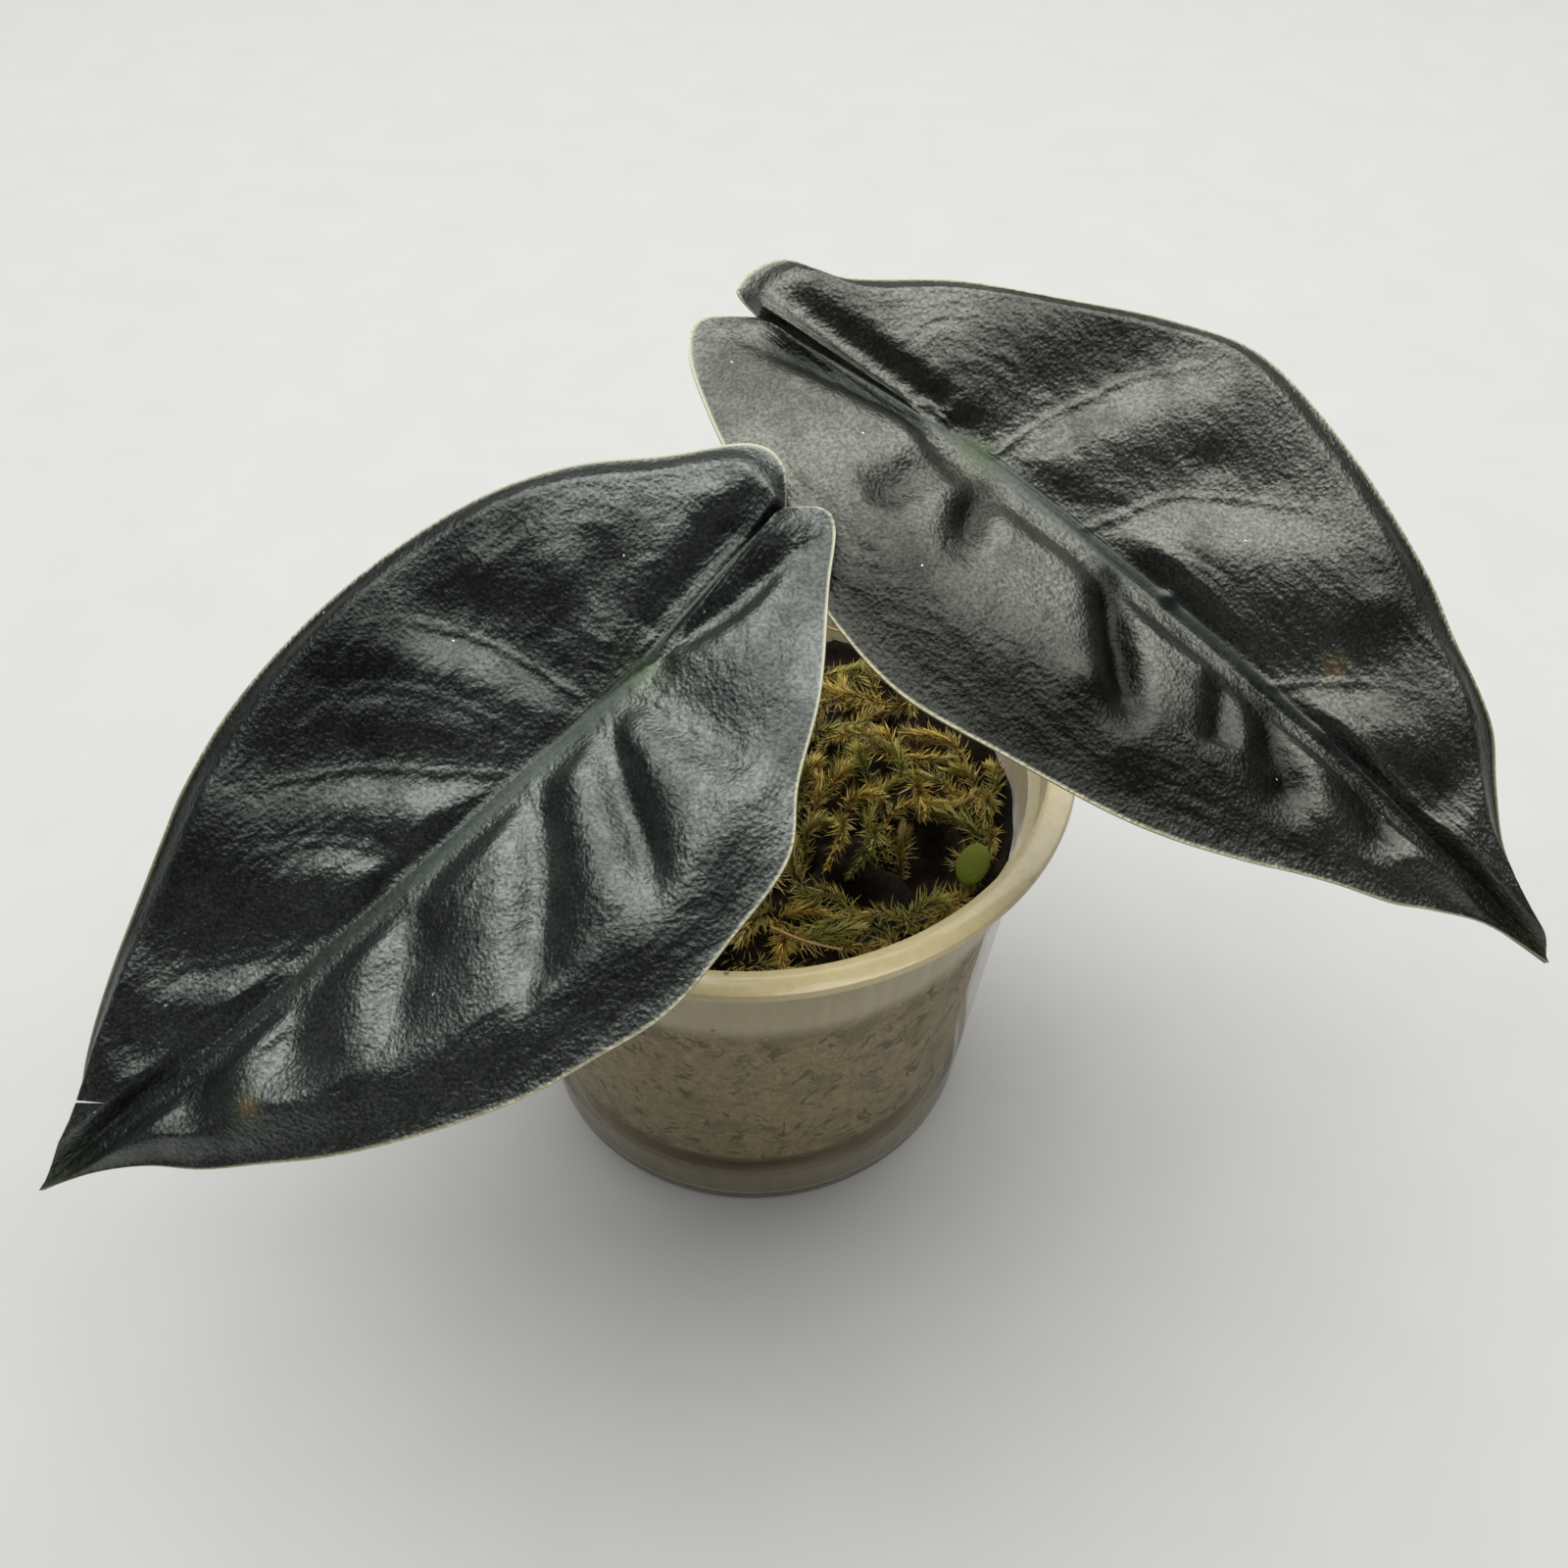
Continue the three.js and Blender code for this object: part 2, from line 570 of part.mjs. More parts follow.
// The blade: two halves that share the midrib, closed by a wall along the margin
function makeBlade(blade) {
  const shape = bladeShape(blade);
  const lines = shape.last * STEPS_PER_ROW;
  const across = ACROSS.length - 1;
  const points = [];
  const seen = new Map();
  const vertex = (side, i, j, face) => {
    const end = i === 0 || i === lines;
    const key = [j === 0 || end ? 'spine' : side, i, end ? 0 : j, face].join();
    if (!seen.has(key)) {
      const q = i / STEPS_PER_ROW;
      const r = end ? 0 : ACROSS[j];
      const place = shape.flat(side, q, r);
      const { height, ridge } = shape.relief(side, q, r, place);
      const top = bladeRise(place.x, place.y, blade.length) + height;
      const z = face === 'top' ? top : top - shape.thick(q, r, place, ridge);
      seen.set(key, points.push(new THREE.Vector3(place.x, place.y, z)) - 1);
    }
    return seen.get(key);
  };
  const faces = [];
  const triangle = (a, b, c) => {
    if (a !== b && b !== c && c !== a) faces.push(a, b, c);
  };
  for (const side of ['left', 'right']) {
    const mirror = side === 'left' ? 1 : -1;
    const wound = (a, b, c, up) => (up * mirror > 0 ? triangle(a, b, c) : triangle(a, c, b));
    for (let i = 0; i < lines; i++) {
      for (let j = 0; j < across; j++) {
        for (const [face, up] of [['top', 1], ['bottom', -1]]) {
          const [a, b] = [vertex(side, i, j, face), vertex(side, i + 1, j, face)];
          const [c, d] = [vertex(side, i + 1, j + 1, face), vertex(side, i, j + 1, face)];
          wound(a, b, c, up);
          wound(a, c, d, up);
        }
      }
      const [a, b] = [vertex(side, i, across, 'top'), vertex(side, i + 1, across, 'top')];
      const [c, d] = [vertex(side, i + 1, across, 'bottom'), vertex(side, i, across, 'bottom')];
      wound(a, b, c, 1);
      wound(a, c, d, 1);
    }
  }
  const geometry = new THREE.BufferGeometry().setFromPoints(points);
  geometry.setIndex(faces);
  return blade.tear ? tearMargin(geometry, blade.tear) : geometry;
}

// A short split that runs in from the margin, cut by a thin wedge
function tearMargin(geometry, tear) {
  const [from, to] = [new THREE.Vector2(...tear.from), new THREE.Vector2(...tear.to)];
  const ahead = to.clone().sub(from);
  const aside = new THREE.Vector2(-ahead.y, ahead.x).setLength(tear.width / 2);
  const wedge = new THREE.Shape([from.clone().sub(aside), to, from.clone().add(aside)]);
  const cutter = new THREE.ExtrudeGeometry(wedge, { depth: 40, bevelEnabled: false }).translate(0, 0, -20);
  return geometryOf(solidOf(geometry).subtract(solidOf(cutter)));
}

function bladeTurn(blade) {
  return new THREE.Euler(degrees(blade.roll), degrees(blade.dip), degrees(blade.heading), 'ZYX');
}

// The leaf stalk: from its sheath up to just under the boss on the blade's underside
function makeStalk(blade) {
  const depth = BLADE_THICK + MIDRIB_DEPTH + BOSS_DEPTH + GAP;
  const normal = new THREE.Vector3(0, 0, 1).applyEuler(bladeTurn(blade));
  const joint = new THREE.Vector3(...blade.joint);
  const end = joint.clone().addScaledVector(normal, -depth);
  const before = joint.clone().addScaledVector(normal, -depth - 4);
  const [x, y] = socketPlace(blade.socket);
  const curve = new THREE.CatmullRomCurve3([
    new THREE.Vector3(x, y, STEM_TOP + GAP),
    new THREE.Vector3(x, y, STEM_TOP + SHEATH_HEIGHT),
    ...blade.stalk.map((place) => new THREE.Vector3(...place)), before, end,
  ]);
  const radiusAt = (t) => THREE.MathUtils.lerp(STALK_BASE_RADIUS, STALK_TOP_RADIUS, smooth(t * 1.6))
    + STALK_FLARE * smooth((t - 0.88) / 0.12);
  return taperedTube(curve, STALK_STEPS, STALK_SIDES, radiusAt);
}

// The sprout: one small rounded leaf on a short stalk that stands in the moss
function makeSprout() {
  const [x, y] = SPROUT_PLACE;
  const stalkTop = MOSS_LEVEL + 1.5;
  const foot = MOSS_LEVEL - SPROUT_ROOT;
  const stalk = solidOf(rod(SPROUT_STALK, foot, stalkTop, SPROUT_SIDES, x, y));
  const leaf = new THREE.SphereGeometry(1, 14, 8).scale(SPROUT_WIDTH / 2, SPROUT_LENGTH / 2, 0.55)
    .rotateX(0.5).rotateZ(-0.5).translate(x, y, stalkTop + 0.4);
  return geometryOf(stalk.add(solidOf(leaf)));
}

// Assembly
const plant = new THREE.Group();

function add(name, geometry, look) {
  const [color, roughness] = LOOKS[look];
  geometry.computeVertexNormals();
  const material = new THREE.MeshStandardMaterial({ color, roughness, metalness: 0 });
  const mesh = new THREE.Mesh(geometry, material);
  mesh.name = name;
  plant.add(mesh);
  return mesh;
}

add('pot', makePot(), 'pot');
add('moss', makeMoss(), 'moss');
add('stem', makeStem(), 'stem');
add('sprout', makeSprout(), 'sprout');
for (const blade of [LEFT_BLADE, RIGHT_BLADE]) {
  add(blade.name.replace('blade', 'stalk'), makeStalk(blade), 'stalk');
  const mesh = add(blade.name, makeBlade(blade), 'blade');
  mesh.position.set(...blade.joint);
  mesh.rotation.copy(bladeTurn(blade));
}

export default plant;
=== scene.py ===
"""A small black-leaved alocasia in a clear plastic pot of moss, dressed for its portrait.

Metres, +Z up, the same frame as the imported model. The origin is the centre of the pot's foot.
"""

import math

import bpy
import numpy as np
from mathutils import Euler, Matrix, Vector, noise


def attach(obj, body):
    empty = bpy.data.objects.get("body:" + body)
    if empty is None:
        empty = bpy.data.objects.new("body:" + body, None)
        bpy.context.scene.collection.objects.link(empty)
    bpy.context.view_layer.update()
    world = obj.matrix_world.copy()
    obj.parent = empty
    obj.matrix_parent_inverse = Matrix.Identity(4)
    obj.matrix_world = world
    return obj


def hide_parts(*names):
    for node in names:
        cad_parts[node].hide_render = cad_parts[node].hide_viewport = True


MM = 0.001
SEED = 41

# Driving dimensions of the pot, in millimetres
POT_HEIGHT = 66
RIM_RADIUS = 44.5
MOUTH_RADIUS = 40.6
FOOT_RADIUS = 33.5
RIM_THICK = 1.6
COLLAR_RADIUS = 41.4
COLLAR_DROP = 3.6
SHOULDER_RADIUS = 39.8
WALL = 1.2
FLOOR_UNDERSIDE = 4.6
FLOOR_THICK = 1.4
CORNER_ROUNDING = 6
CORNER_STEPS = 8
FOOT_RING_WIDTH = 1.6
HUB_RADIUS = 7
DRAIN_HOLES = 6
DRAIN_RADIUS = 2.4
DRAIN_CIRCLE = 19
POT_SIDES = 144

# Driving dimensions of the moss, in millimetres
GAP = 0.35
MOSS_LEVEL = 54.5
MOSS_EDGE_DIP = 3.5
MOSS_LUMPS = 1.3
MOSS_BED_DROP = 2.2
HOLLOW_DEPTH = 9
SHOOT_COUNT = 210
SHOOT_PIECES = 4
SHOOT_LENGTH = 12.5
SHOOT_RADIUS = 2.2
SHOOT_STEPS = 22
LEAFLETS_AROUND = 9

# Driving dimensions of the stem, its sheaths and the leaf stalks, in millimetres
STEM_RADIUS = 6.8
STEM_FOOT = 40
STEM_TOP = 59
STEM_PLACE = (-1.5, 0.5)
SOCKETS = ((-2.7, -1.5), (2.7, 1.5))
SHEATH_RADIUS = 3.6
SHEATH_HEIGHT = 9
SHEATH_SLANT = 0.62
STALK_BASE_RADIUS = 2.4
STALK_TOP_RADIUS = 1.45
STALK_FLARE = 0.8
STALK_STEPS = 97

# Driving dimensions that both leaf blades share, in millimetres
BLADE_THICK = 0.95
MARGIN_THICK = 0.45
MIDRIB_DEPTH = 1.3
BOSS_DEPTH = 1.0
BOSS_RADIUS = 4
VEIN_DEPTH = 0.35
PILLOW_HEIGHT = 2.6
PILLOW_RISE = 4
VEIN_WIDTH = 0.45
KEEL_SLOPE = 0.27
KEEL_EASE = 0.35
HALF_WIDTH = 31
TIP_DROOP = 9
BACK_DROOP = 3
BACK_REACH = 30
VEIN_BOW = 0.45
RIB_RISE = 0.35
VEIN_RISE = 0.16
CREASE_RISE = 0.12
GREEN_RADIUS = 2.6
SPOT_RADIUS = 1.7
BLADE_LINES = 300
BLADE_COLUMNS = 70

# Each blade lies in its own frame: X from the stalk joint to the tip, Y across to the
# left of that, Z out of the upper face. A row is one line across the blade along the
# side veins: the place on the midrib where it starts and its ends on the left and right
# margins. Rows run from the notch to the tip.
# The blade is pillowed between its veins. A vein has its depth as a share of the
# pillows' height, how far its hollow reaches towards the notch and towards the tip, how
# clear its raised line is, and the places it passes. Shelf is how far from the midrib the
# pillows start and brim how far out they begin to fall, as a share of the way to the
# margin, to the left and to the right. A swelling has a place, a radius and a height.
# Green is the middle of the paler patch at the joint, and spot that of a small brown mark.
# The stalk stands in its socket on the stem and passes its two places, in the pot's frame.
LEFT_BLADE = {
    "name": "blade_left",
    "joint": (-11.6, -30.7, 102.4),
    "heading": 209,
    "dip": 26.3,
    "roll": -22.4,
    "length": 87.5,
    "midrib_bow": 2.2,
    "rows": [
        (-24.6, (-24.6, -5), (-24.6, -5)),
        (-5, (-28, -1.5), (-27.3, -8.9)),
        (-2.5, (-22.5, 5.5), (-25.9, -12.7)),
        (-1.5, (-15, 14.6), (-17.9, -16.9)),
        (-0.7, (-7.5, 21.1), (-9, -22.2)),
        (0, (-2.2, 26.7), (0.8, -25.5)),
        (1.5, (6.5, 29.4), (12.3, -27)),
        (3.5, (16.1, 31.3), (23.9, -26.9)),
        (9, (24.8, 30.3), (35.6, -25.2)),
        (15, (32.6, 28.9), (45.1, -22.1)),
        (22.5, (40.6, 26.3), (50.9, -19.2)),
        (30.5, (48.7, 22.9), (57.1, -16)),
        (38.5, (54.8, 19.8), (63.4, -12.8)),
        (46.5, (61.1, 15.9), (68.6, -9.9)),
        (56, (67.4, 11.9), (72.8, -7.2)),
        (66, (73.3, 7.1), (76.9, -4.1)),
        (77, (80, 3.1), (81.5, -1.5)),
        (87.5, (87.5, 0), (87.5, 0)),
    ],
    "shelf": (1.2, 0.8),
    "brim": (0.7, 0.88),
    "left_veins": [
        (0.9, 3, 1.5, 0.4, [(-8, 0.6), (-15, 1), (-24, -1)]),
        (0.9, 6, 3, 0.8, [(0, 1), (-1.6, 6), (-4.4, 15.3), (-6, 19.5)]),
        (1, 2.6, 2.2, 0.8, [
            (4.2, 1.6), (5.8, 5.3), (7.2, 10.1), (8.7, 15.7), (10.2, 20.1), (13.5, 25.9),
        ]),
        (1, 3.4, 2.2, 0.8, [
            (14.7, 2.5), (16.3, 6.3), (18.8, 11.2), (21.8, 15.4), (25.5, 20.6), (29.1, 24.9),
        ]),
        (0.8, 5, 3, 0.4, [(32, 3), (34.1, 7.6), (37.8, 12.2), (43.3, 18.6)]),
        (0.8, 5, 3, 0.3, [(46, 3), (49.9, 7.1), (55.6, 12.3)]),
        (0.6, 4, 3, 0.2, [(60, 2), (63.9, 5), (66.8, 8.2)]),
    ],
    "right_veins": [
        (1, 2, 2.5, 0.4, [(-6, -2.5), (-16, -4.7), (-25, -7)]),
        (0.5, 4, 3, 0.3, [(-3.3, -4), (-4, -8.9), (-7, -15.4)]),
        (1, 9, 4.5, 0.9, [
            (5, -1.9), (6.8, -7), (8.7, -11.5), (11.4, -15.9), (14.7, -19.4), (21, -23.5),
        ]),
        (0.45, 3, 2.5, 0.7, [
            (12.5, -3), (15.9, -9.8), (20.3, -15.2), (25.6, -18.6), (31.2, -21.4),
        ]),
        (1, 8, 4.5, 0.9, [
            (16.6, -1), (21.7, -5.2), (26.1, -9.2), (30.2, -12), (38.5, -16.2), (44.3, -17.5),
        ]),
        (0.6, 5, 3, 0.6, [(31, -1), (32.5, -3.6), (35.7, -6.9), (40.2, -9.3), (46.7, -12.6)]),
        (0.9, 8, 4, 0.5, [(45, 0), (48, -2), (56.9, -6.9), (63.7, -9.7)]),
        (0.5, 4, 3, 0.3, [(61, 0), (65, -2.6), (69.9, -4.9)]),
    ],
    "swellings": [
        ((-3.5, 17.4), 3.2, 0.5),
        ((14.1, 17.9), 3, 0.6),
        ((24.8, 22), 1.7, 0.5),
        ((35.7, 13.1), 2.4, 0.5),
        ((4.7, -18.4), 3, 0.7),
        ((-2.7, -12.9), 3, 0.7),
        ((-18.3, -9.2), 2.4, 0.6),
        ((-19, 4), 2.5, -0.6),
    ],
    "green": (-2, 0.3),
    "spot": (58, 11),
    "tear": {"from": (78, -5.2), "to": (73, -1), "width": 0.5},
    "socket": SOCKETS[0],
    "stalk": ((-5, -4.5, 76), (-8, -15, 89)),
}

RIGHT_BLADE = {
    "name": "blade_right",
    "joint": (26.5, -2.8, 112.3),
    "heading": -33.5,
    "dip": 23.3,
    "roll": 22.6,
    "length": 87.7,
    "midrib_bow": 1,
    "rows": [
        (-30, (-30, -2.5), (-30, -2.5)),
        (-6, (-34.8, -0.5), (-34.7, -7.4)),
        (-3.5, (-33, 5), (-32.3, -12.3)),
        (-2.5, (-25, 7.4), (-25.6, -17.1)),
        (-1.5, (-14.8, 14.2), (-17.4, -21.4)),
        (-0.5, (-3.7, 20), (-7.4, -25.2)),
        (1, (7.4, 25.9), (2.5, -28.4)),
        (2.5, (18.1, 29.5), (12.2, -29.5)),
        (9, (33, 27.4), (23.9, -27.2)),
        (16, (47.2, 23.1), (35.7, -24.4)),
        (23, (54.8, 19.5), (43.6, -21.6)),
        (31, (61.3, 16.8), (51.6, -17.6)),
        (37, (65.5, 14.4), (56.7, -14.6)),
        (43, (69.4, 10.4), (61.7, -11.9)),
        (50, (73.7, 6.5), (67.8, -9)),
        (58, (77.4, 4.4), (72.4, -5.9)),
        (73, (82, 2), (79, -2.1)),
        (87.7, (87.7, 0), (87.7, 0)),
    ],
    "shelf": (0.8, 2.8),
    "brim": (0.88, 0.6),
    "left_veins": [
        (0.9, 3, 1.5, 0.5, [(-7, 1.2), (-16, 1), (-32, 1)]),
        (1, 7, 4.5, 1, [
            (2, 1.7), (2.5, 4.4), (4, 8.9), (6.1, 13.1), (8.1, 17.5), (14.1, 23.6), (18.1, 26.6),
        ]),
        (1, 8, 4.5, 1, [
            (15, 1.4), (17, 4.5), (19.3, 8.8), (22.8, 12.4), (32.8, 18.2), (42.5, 21.3),
        ]),
        (1, 8, 4.5, 1, [(42.4, 1.4), (45.5, 4.5), (48.8, 7.2), (52.3, 9.7), (60.7, 12.4)]),
        (0.6, 5, 3, 0.4, [(60, 0.8), (64, 3), (69, 4.9)]),
    ],
    "right_veins": [
        (0.9, 2, 2, 0.7, [(-8, -1.7), (-16, -3.5), (-26, -5.6), (-33, -6)]),
        (0.5, 2.6, 2.4, 0, [(-1, -5), (-2.6, -8.6), (-4, -12.5), (-5.6, -15.9)]),
        (0.9, 2.4, 2.2, 0, [(3.4, -3.6), (4.2, -6), (5.4, -9.5), (8, -14.9)]),
        (1.2, 2.6, 1.8, 0.1, [
            (20.6, -1.6), (22.3, -3.8), (24.4, -6.5), (27.8, -10), (31.4, -13.8), (34, -16.2),
        ]),
        (0.6, 2.5, 2, 0, [(38, -3.2), (40.7, -8.1), (41.9, -10.2)]),
        (1, 4, 2, 0.1, [(43.7, -1.5), (47, -5), (50.9, -8.1), (54.8, -11.3)]),
        (0.8, 4, 2, 0.1, [(58, -1), (61, -2.6), (66, -5.1)]),
    ],
    "swellings": [
        ((25.7, -14.2), 2.1, 0.9),
        ((34.8, -3.4), 1, 0.4),
        ((43.2, -6.7), 2.2, 0.6),
        ((48.7, -7.3), 1.5, 0.4),
        ((33.6, -18), 3, 0.5),
        ((-1.2, -7.1), 2, 0.4),
        ((27, 1.2), 0.9, 0.5),
        ((45.4, 14.7), 2.4, 0.9),
        ((21, 15.7), 2, -0.5),
        ((50.4, 1.5), 1.8, 0.4),
    ],
    "green": (0, 0),
    "spot": (46.5, 7.4),
    "tear": None,
    "socket": SOCKETS[1],
    "stalk": ((2.8, 3.2, 78), (8.5, 4.5, 95)),
}

# Dry straws on the moss, each from one end to the other, in millimetres
STRAW_RADIUS = 0.24
STRAWS = [
    ((9, 34, 57.6), (17, 32, 56.8)),
    ((21, 20, 57.5), (25, 27, 56.6)),
    ((-20, -14, 57.4), (-10, -24, 57)),
    ((3, -27, 57.2), (12, -30, 56.4)),
]

# The small green leaf that grows at the edge of the moss, in millimetres
SPROUT_PLACE = (30, -15.5)
SPROUT_STALK = 0.8
SPROUT_LENGTH = 6
SPROUT_WIDTH = 4.4
SPROUT_ROOT = 8

# The light: one broad soft panel overhead, in metres
LIGHT_PLACE = (0, 0.30, 0.95)
LIGHT_SIZE = (2.0, 1.5)
LIGHT_POWER = 34

# Camera: where the photographer stood, in metres
CAMERA_PLACE = (0.0047, -0.15135, 0.210)
CAMERA_PITCH = 45.5
CAMERA_LENS = 35.1


# Shader sums written as plain sums

class Wire:
    """One output of a finish's nodes. Sums on it add the nodes that work them out."""

    def __init__(self, finish, socket):
        self.finish = finish
        self.socket = socket

    def __add__(self, other):
        return self.finish.sum("ADD", self, other)

    def __mul__(self, other):
        return self.finish.sum("MULTIPLY", self, other)

    def __sub__(self, other):
        return self.finish.sum("SUBTRACT", self, other)

    def __rsub__(self, other):
        return self.finish.sum("SUBTRACT", other, self)

    __radd__, __rmul__ = __add__, __mul__


class Finish:
    """A material under construction."""

    def __init__(self, name, **constants):
        self.material = bpy.data.materials.new(name)
        self.material.use_nodes = True
        self.nodes = self.material.node_tree.nodes
        self.links = self.material.node_tree.links
        self.nodes.clear()
        self.shader = self.nodes.new("ShaderNodeBsdfPrincipled")
        output = self.nodes.new("ShaderNodeOutputMaterial")
        self.links.new(self.shader.outputs[0], output.inputs[0])
        self.set(self.shader, constants)

    def set(self, node, inputs):
        for key, value in inputs.items():
            socket = node.inputs[key.replace("_", " ") if isinstance(key, str) else key]
            if isinstance(value, Wire):
                self.links.new(value.socket, socket)
            else:
                socket.default_value = value

    def node(self, kind, settings=(), inputs=(), output=0):
        """Adds a node with its settings, then its inputs, and gives one of its outputs."""
        node = self.nodes.new("ShaderNode" + kind)
        for key, value in dict(settings).items():
            if key == "stops":
                self.fill_ramp(node.color_ramp, value)
            else:
                setattr(node, key, value)
        self.set(node, dict(inputs))
        return Wire(self, node.outputs[output])

    def sum(self, operation, *values):
        return self.node("Math", {"operation": operation}, dict(enumerate(values)))

    def fill_ramp(self, ramp, stops):
        while len(ramp.elements) < len(stops):
            ramp.elements.new(0.5)
        for element, (place, colour) in zip(ramp.elements, stops):
            element.position = place
            element.color = (*colour, 1)

    def finish(self, **inputs):
        self.set(self.shader, inputs)
        return self.material

    def stretched(self, raw, span, scale):
        return self.node("Mapping", {}, {0: raw, 3: tuple(span * s for s in scale)})

    def place(self, scale=(1, 1, 1)):
        """The point on the object, in millimetres, stretched by a scale."""
        return self.stretched(self.node("TexCoord", output="Object"), 1000, scale)

    def surface_place(self, scale=(1, 1, 1)):
        """The piece's own map of its surface, in millimetres, stretched by a scale."""
        return self.stretched(self.node("UVMap", {"uv_map": "surface"}), 100, scale)

    def painted(self, name):
        return self.node("Attribute", {"attribute_name": name}, output="Fac")

    def cloud(self, place, scale, detail=3, roughness=0.5, distortion=0):
        return self.node("TexNoise", {}, {
            "Vector": place, "Scale": scale, "Detail": detail,
            "Roughness": roughness, "Distortion": distortion,
        })

    def bent(self, place, sway, reach):
        """The place, swayed sideways by up to half the reach, in millimetres."""
        aside = self.node("CombineXYZ", {}, {0: (sway - 0.5) * reach, 1: (0.5 - sway) * reach})
        return self.node("VectorMath", {"operation": "ADD"}, {0: place, 1: aside})

    def cells(self, place, scale):
        return self.node("TexVoronoi", {}, {"Vector": place, "Scale": scale})

    def between(self, value, low, high):
        """0 below low, 1 above high and a soft step between them."""
        return self.node("MapRange", {"interpolation_type": "SMOOTHSTEP"}, {
            "Value": value, "From Min": low, "From Max": high,
        })

    def mix(self, share, first, second):
        first = (*first, 1) if isinstance(first, tuple) else first
        second = (*second, 1) if isinstance(second, tuple) else second
        return self.node("Mix", {"data_type": "RGBA"}, {0: share, 6: first, 7: second}, output=2)

    def layers(self, colour, *over):
        """Lays colours over one another, each with its share."""
        for share, tone in over:
            colour = self.mix(share, colour, tone)
        return colour

    def axis(self, place, k):
        return self.node("SeparateXYZ", {}, {0: place}, output=k)

    def ramp(self, value, stops):
        return self.node("ValToRGB", {"stops": stops}, {0: value})

    def relief(self, height, depth, normal=None):
        """Bumps as tall as depth, in millimetres, where height goes from 0 to 1."""
        inputs = {"Height": height, "Distance": depth * MM, "Strength": 1.0}
        if normal:
            inputs["Normal"] = normal
        return self.node("Bump", {}, inputs)


# Mesh helpers

def deselect():
    bpy.ops.object.select_all(action="DESELECT")


def only(obj):
    deselect()
    obj.select_set(True)
    bpy.context.view_layer.objects.active = obj


def new_object(name, data):
    obj = bpy.data.objects.new(name, data)
    bpy.context.scene.collection.objects.link(obj)
    return obj


def named(name):
    obj = bpy.context.object
    obj.name = name
    obj.data.name = name
    return obj


def added(name, operator, **settings):
    """The object that one of Blender's own operators adds."""
    deselect()
    operator(**settings)
    return named(name)


def points_of(obj):
    flat = np.empty(len(obj.data.vertices) * 3)
    obj.data.vertices.foreach_get("co", flat)
    return flat.reshape(-1, 3)


def move_points(obj, points):
    obj.data.vertices.foreach_set("co", np.asarray(points, np.float32).ravel())
    obj.data.update()


def paint(obj, name, values):
    layer = obj.data.attributes.new(name, "FLOAT", "POINT")
    layer.data.foreach_set("value", np.asarray(values, np.float32))


def map_surface(obj, across_and_along):
    """Gives the piece a map of its surface: one pair for each vertex, in millimetres."""
    for layer in list(obj.data.uv_layers):
        obj.data.uv_layers.remove(layer)
    layer = obj.data.uv_layers.new(name="surface")
    corners = np.empty(len(obj.data.loops), np.int32)
    obj.data.loops.foreach_get("vertex_index", corners)
    pairs = np.asarray(across_and_along)[corners] / 100
    layer.data.foreach_set("uv", pairs.astype(np.float32).ravel())


def in_edit(obj, *steps):
    only(obj)
    bpy.ops.object.mode_set(mode="EDIT")
    bpy.ops.mesh.select_all(action="SELECT")
    for step in steps:
        step()
    bpy.ops.object.mode_set(mode="OBJECT")


def close_seams():
    bpy.ops.mesh.remove_doubles(threshold=1e-6)


def drop_slivers():
    bpy.ops.mesh.dissolve_degenerate(threshold=1e-7)


def face_outwards():
    bpy.ops.mesh.normals_make_consistent(inside=False)


def apply_all(obj):
    only(obj)
    for modifier in list(obj.modifiers):
        bpy.ops.object.modifier_apply(modifier=modifier.name)


def settle(obj):
    """Puts the object at the origin, with its place in its mesh."""
    only(obj)
    bpy.ops.object.transform_apply(location=True, rotation=True, scale=True)


def put(obj, place, turn=(0, 0, 0)):
    """Turns an object, moves it to a place in millimetres and settles it there."""
    obj.rotation_euler = turn
    obj.location = [c * MM for c in place]
    settle(obj)


def cover(obj, *materials):
    obj.data.materials.clear()
    for material in materials:
        obj.data.materials.append(material)


def finished(obj, slot, *nodes):
    settle(obj)
    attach(obj, "root")
    if nodes:
        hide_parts(*nodes)


def soft_shade(obj, angle):
    only(obj)
    bpy.ops.object.shade_smooth_by_angle(angle=math.radians(angle))


def dressed(obj, material, slot, *nodes, angle=40):
    """One material, smooth shading up to an angle, and its place in the model."""
    cover(obj, material)
    soft_shade(obj, angle)
    finished(obj, slot, *nodes)


def ripple(*place):
    return noise.noise(Vector(place))


def unit(way):
    return way / np.linalg.norm(way)


def round_spot(place, middle, radius):
    """1 at a place and fading to nothing all round it."""
    return np.exp(-((place - middle) ** 2).sum(1) / radius ** 2)


def smooth(x):
    x = np.clip(x, 0, 1)
    return x * x * (3 - 2 * x)


def turned(name, profile, sides):
    """A ring of points laid on a closed outline and spun round the upright axis."""
    ring = bpy.ops.mesh.primitive_circle_add
    obj = added(name, ring, vertices=len(profile), fill_type="NOTHING")
    move_points(obj, [(radius * MM, 0, z * MM) for radius, z in profile])
    spin = {"steps": sides, "angle": 2 * math.pi, "center": (0, 0, 0), "axis": (0, 0, 1)}
    in_edit(obj, lambda: bpy.ops.mesh.spin(**spin), close_seams, drop_slivers, face_outwards)
    return obj


def carve(obj, tool, operation="DIFFERENCE"):
    """Takes one solid away from another, or joins them, and drops the second."""
    cut = obj.modifiers.new("cut", "BOOLEAN")
    cut.operation = operation
    cut.object = tool
    cut.solver = "EXACT"
    cut.material_mode = "TRANSFER"
    apply_all(obj)
    bpy.data.objects.remove(tool)


def rod(name, radius, low, high, sides, x=0, y=0):
    obj = added(
        name, bpy.ops.mesh.primitive_cylinder_add, vertices=sides, radius=radius * MM,
        depth=(high - low) * MM, location=(x * MM, y * MM, (low + high) / 2 * MM),
    )
    settle(obj)
    return obj


# The leaf blades

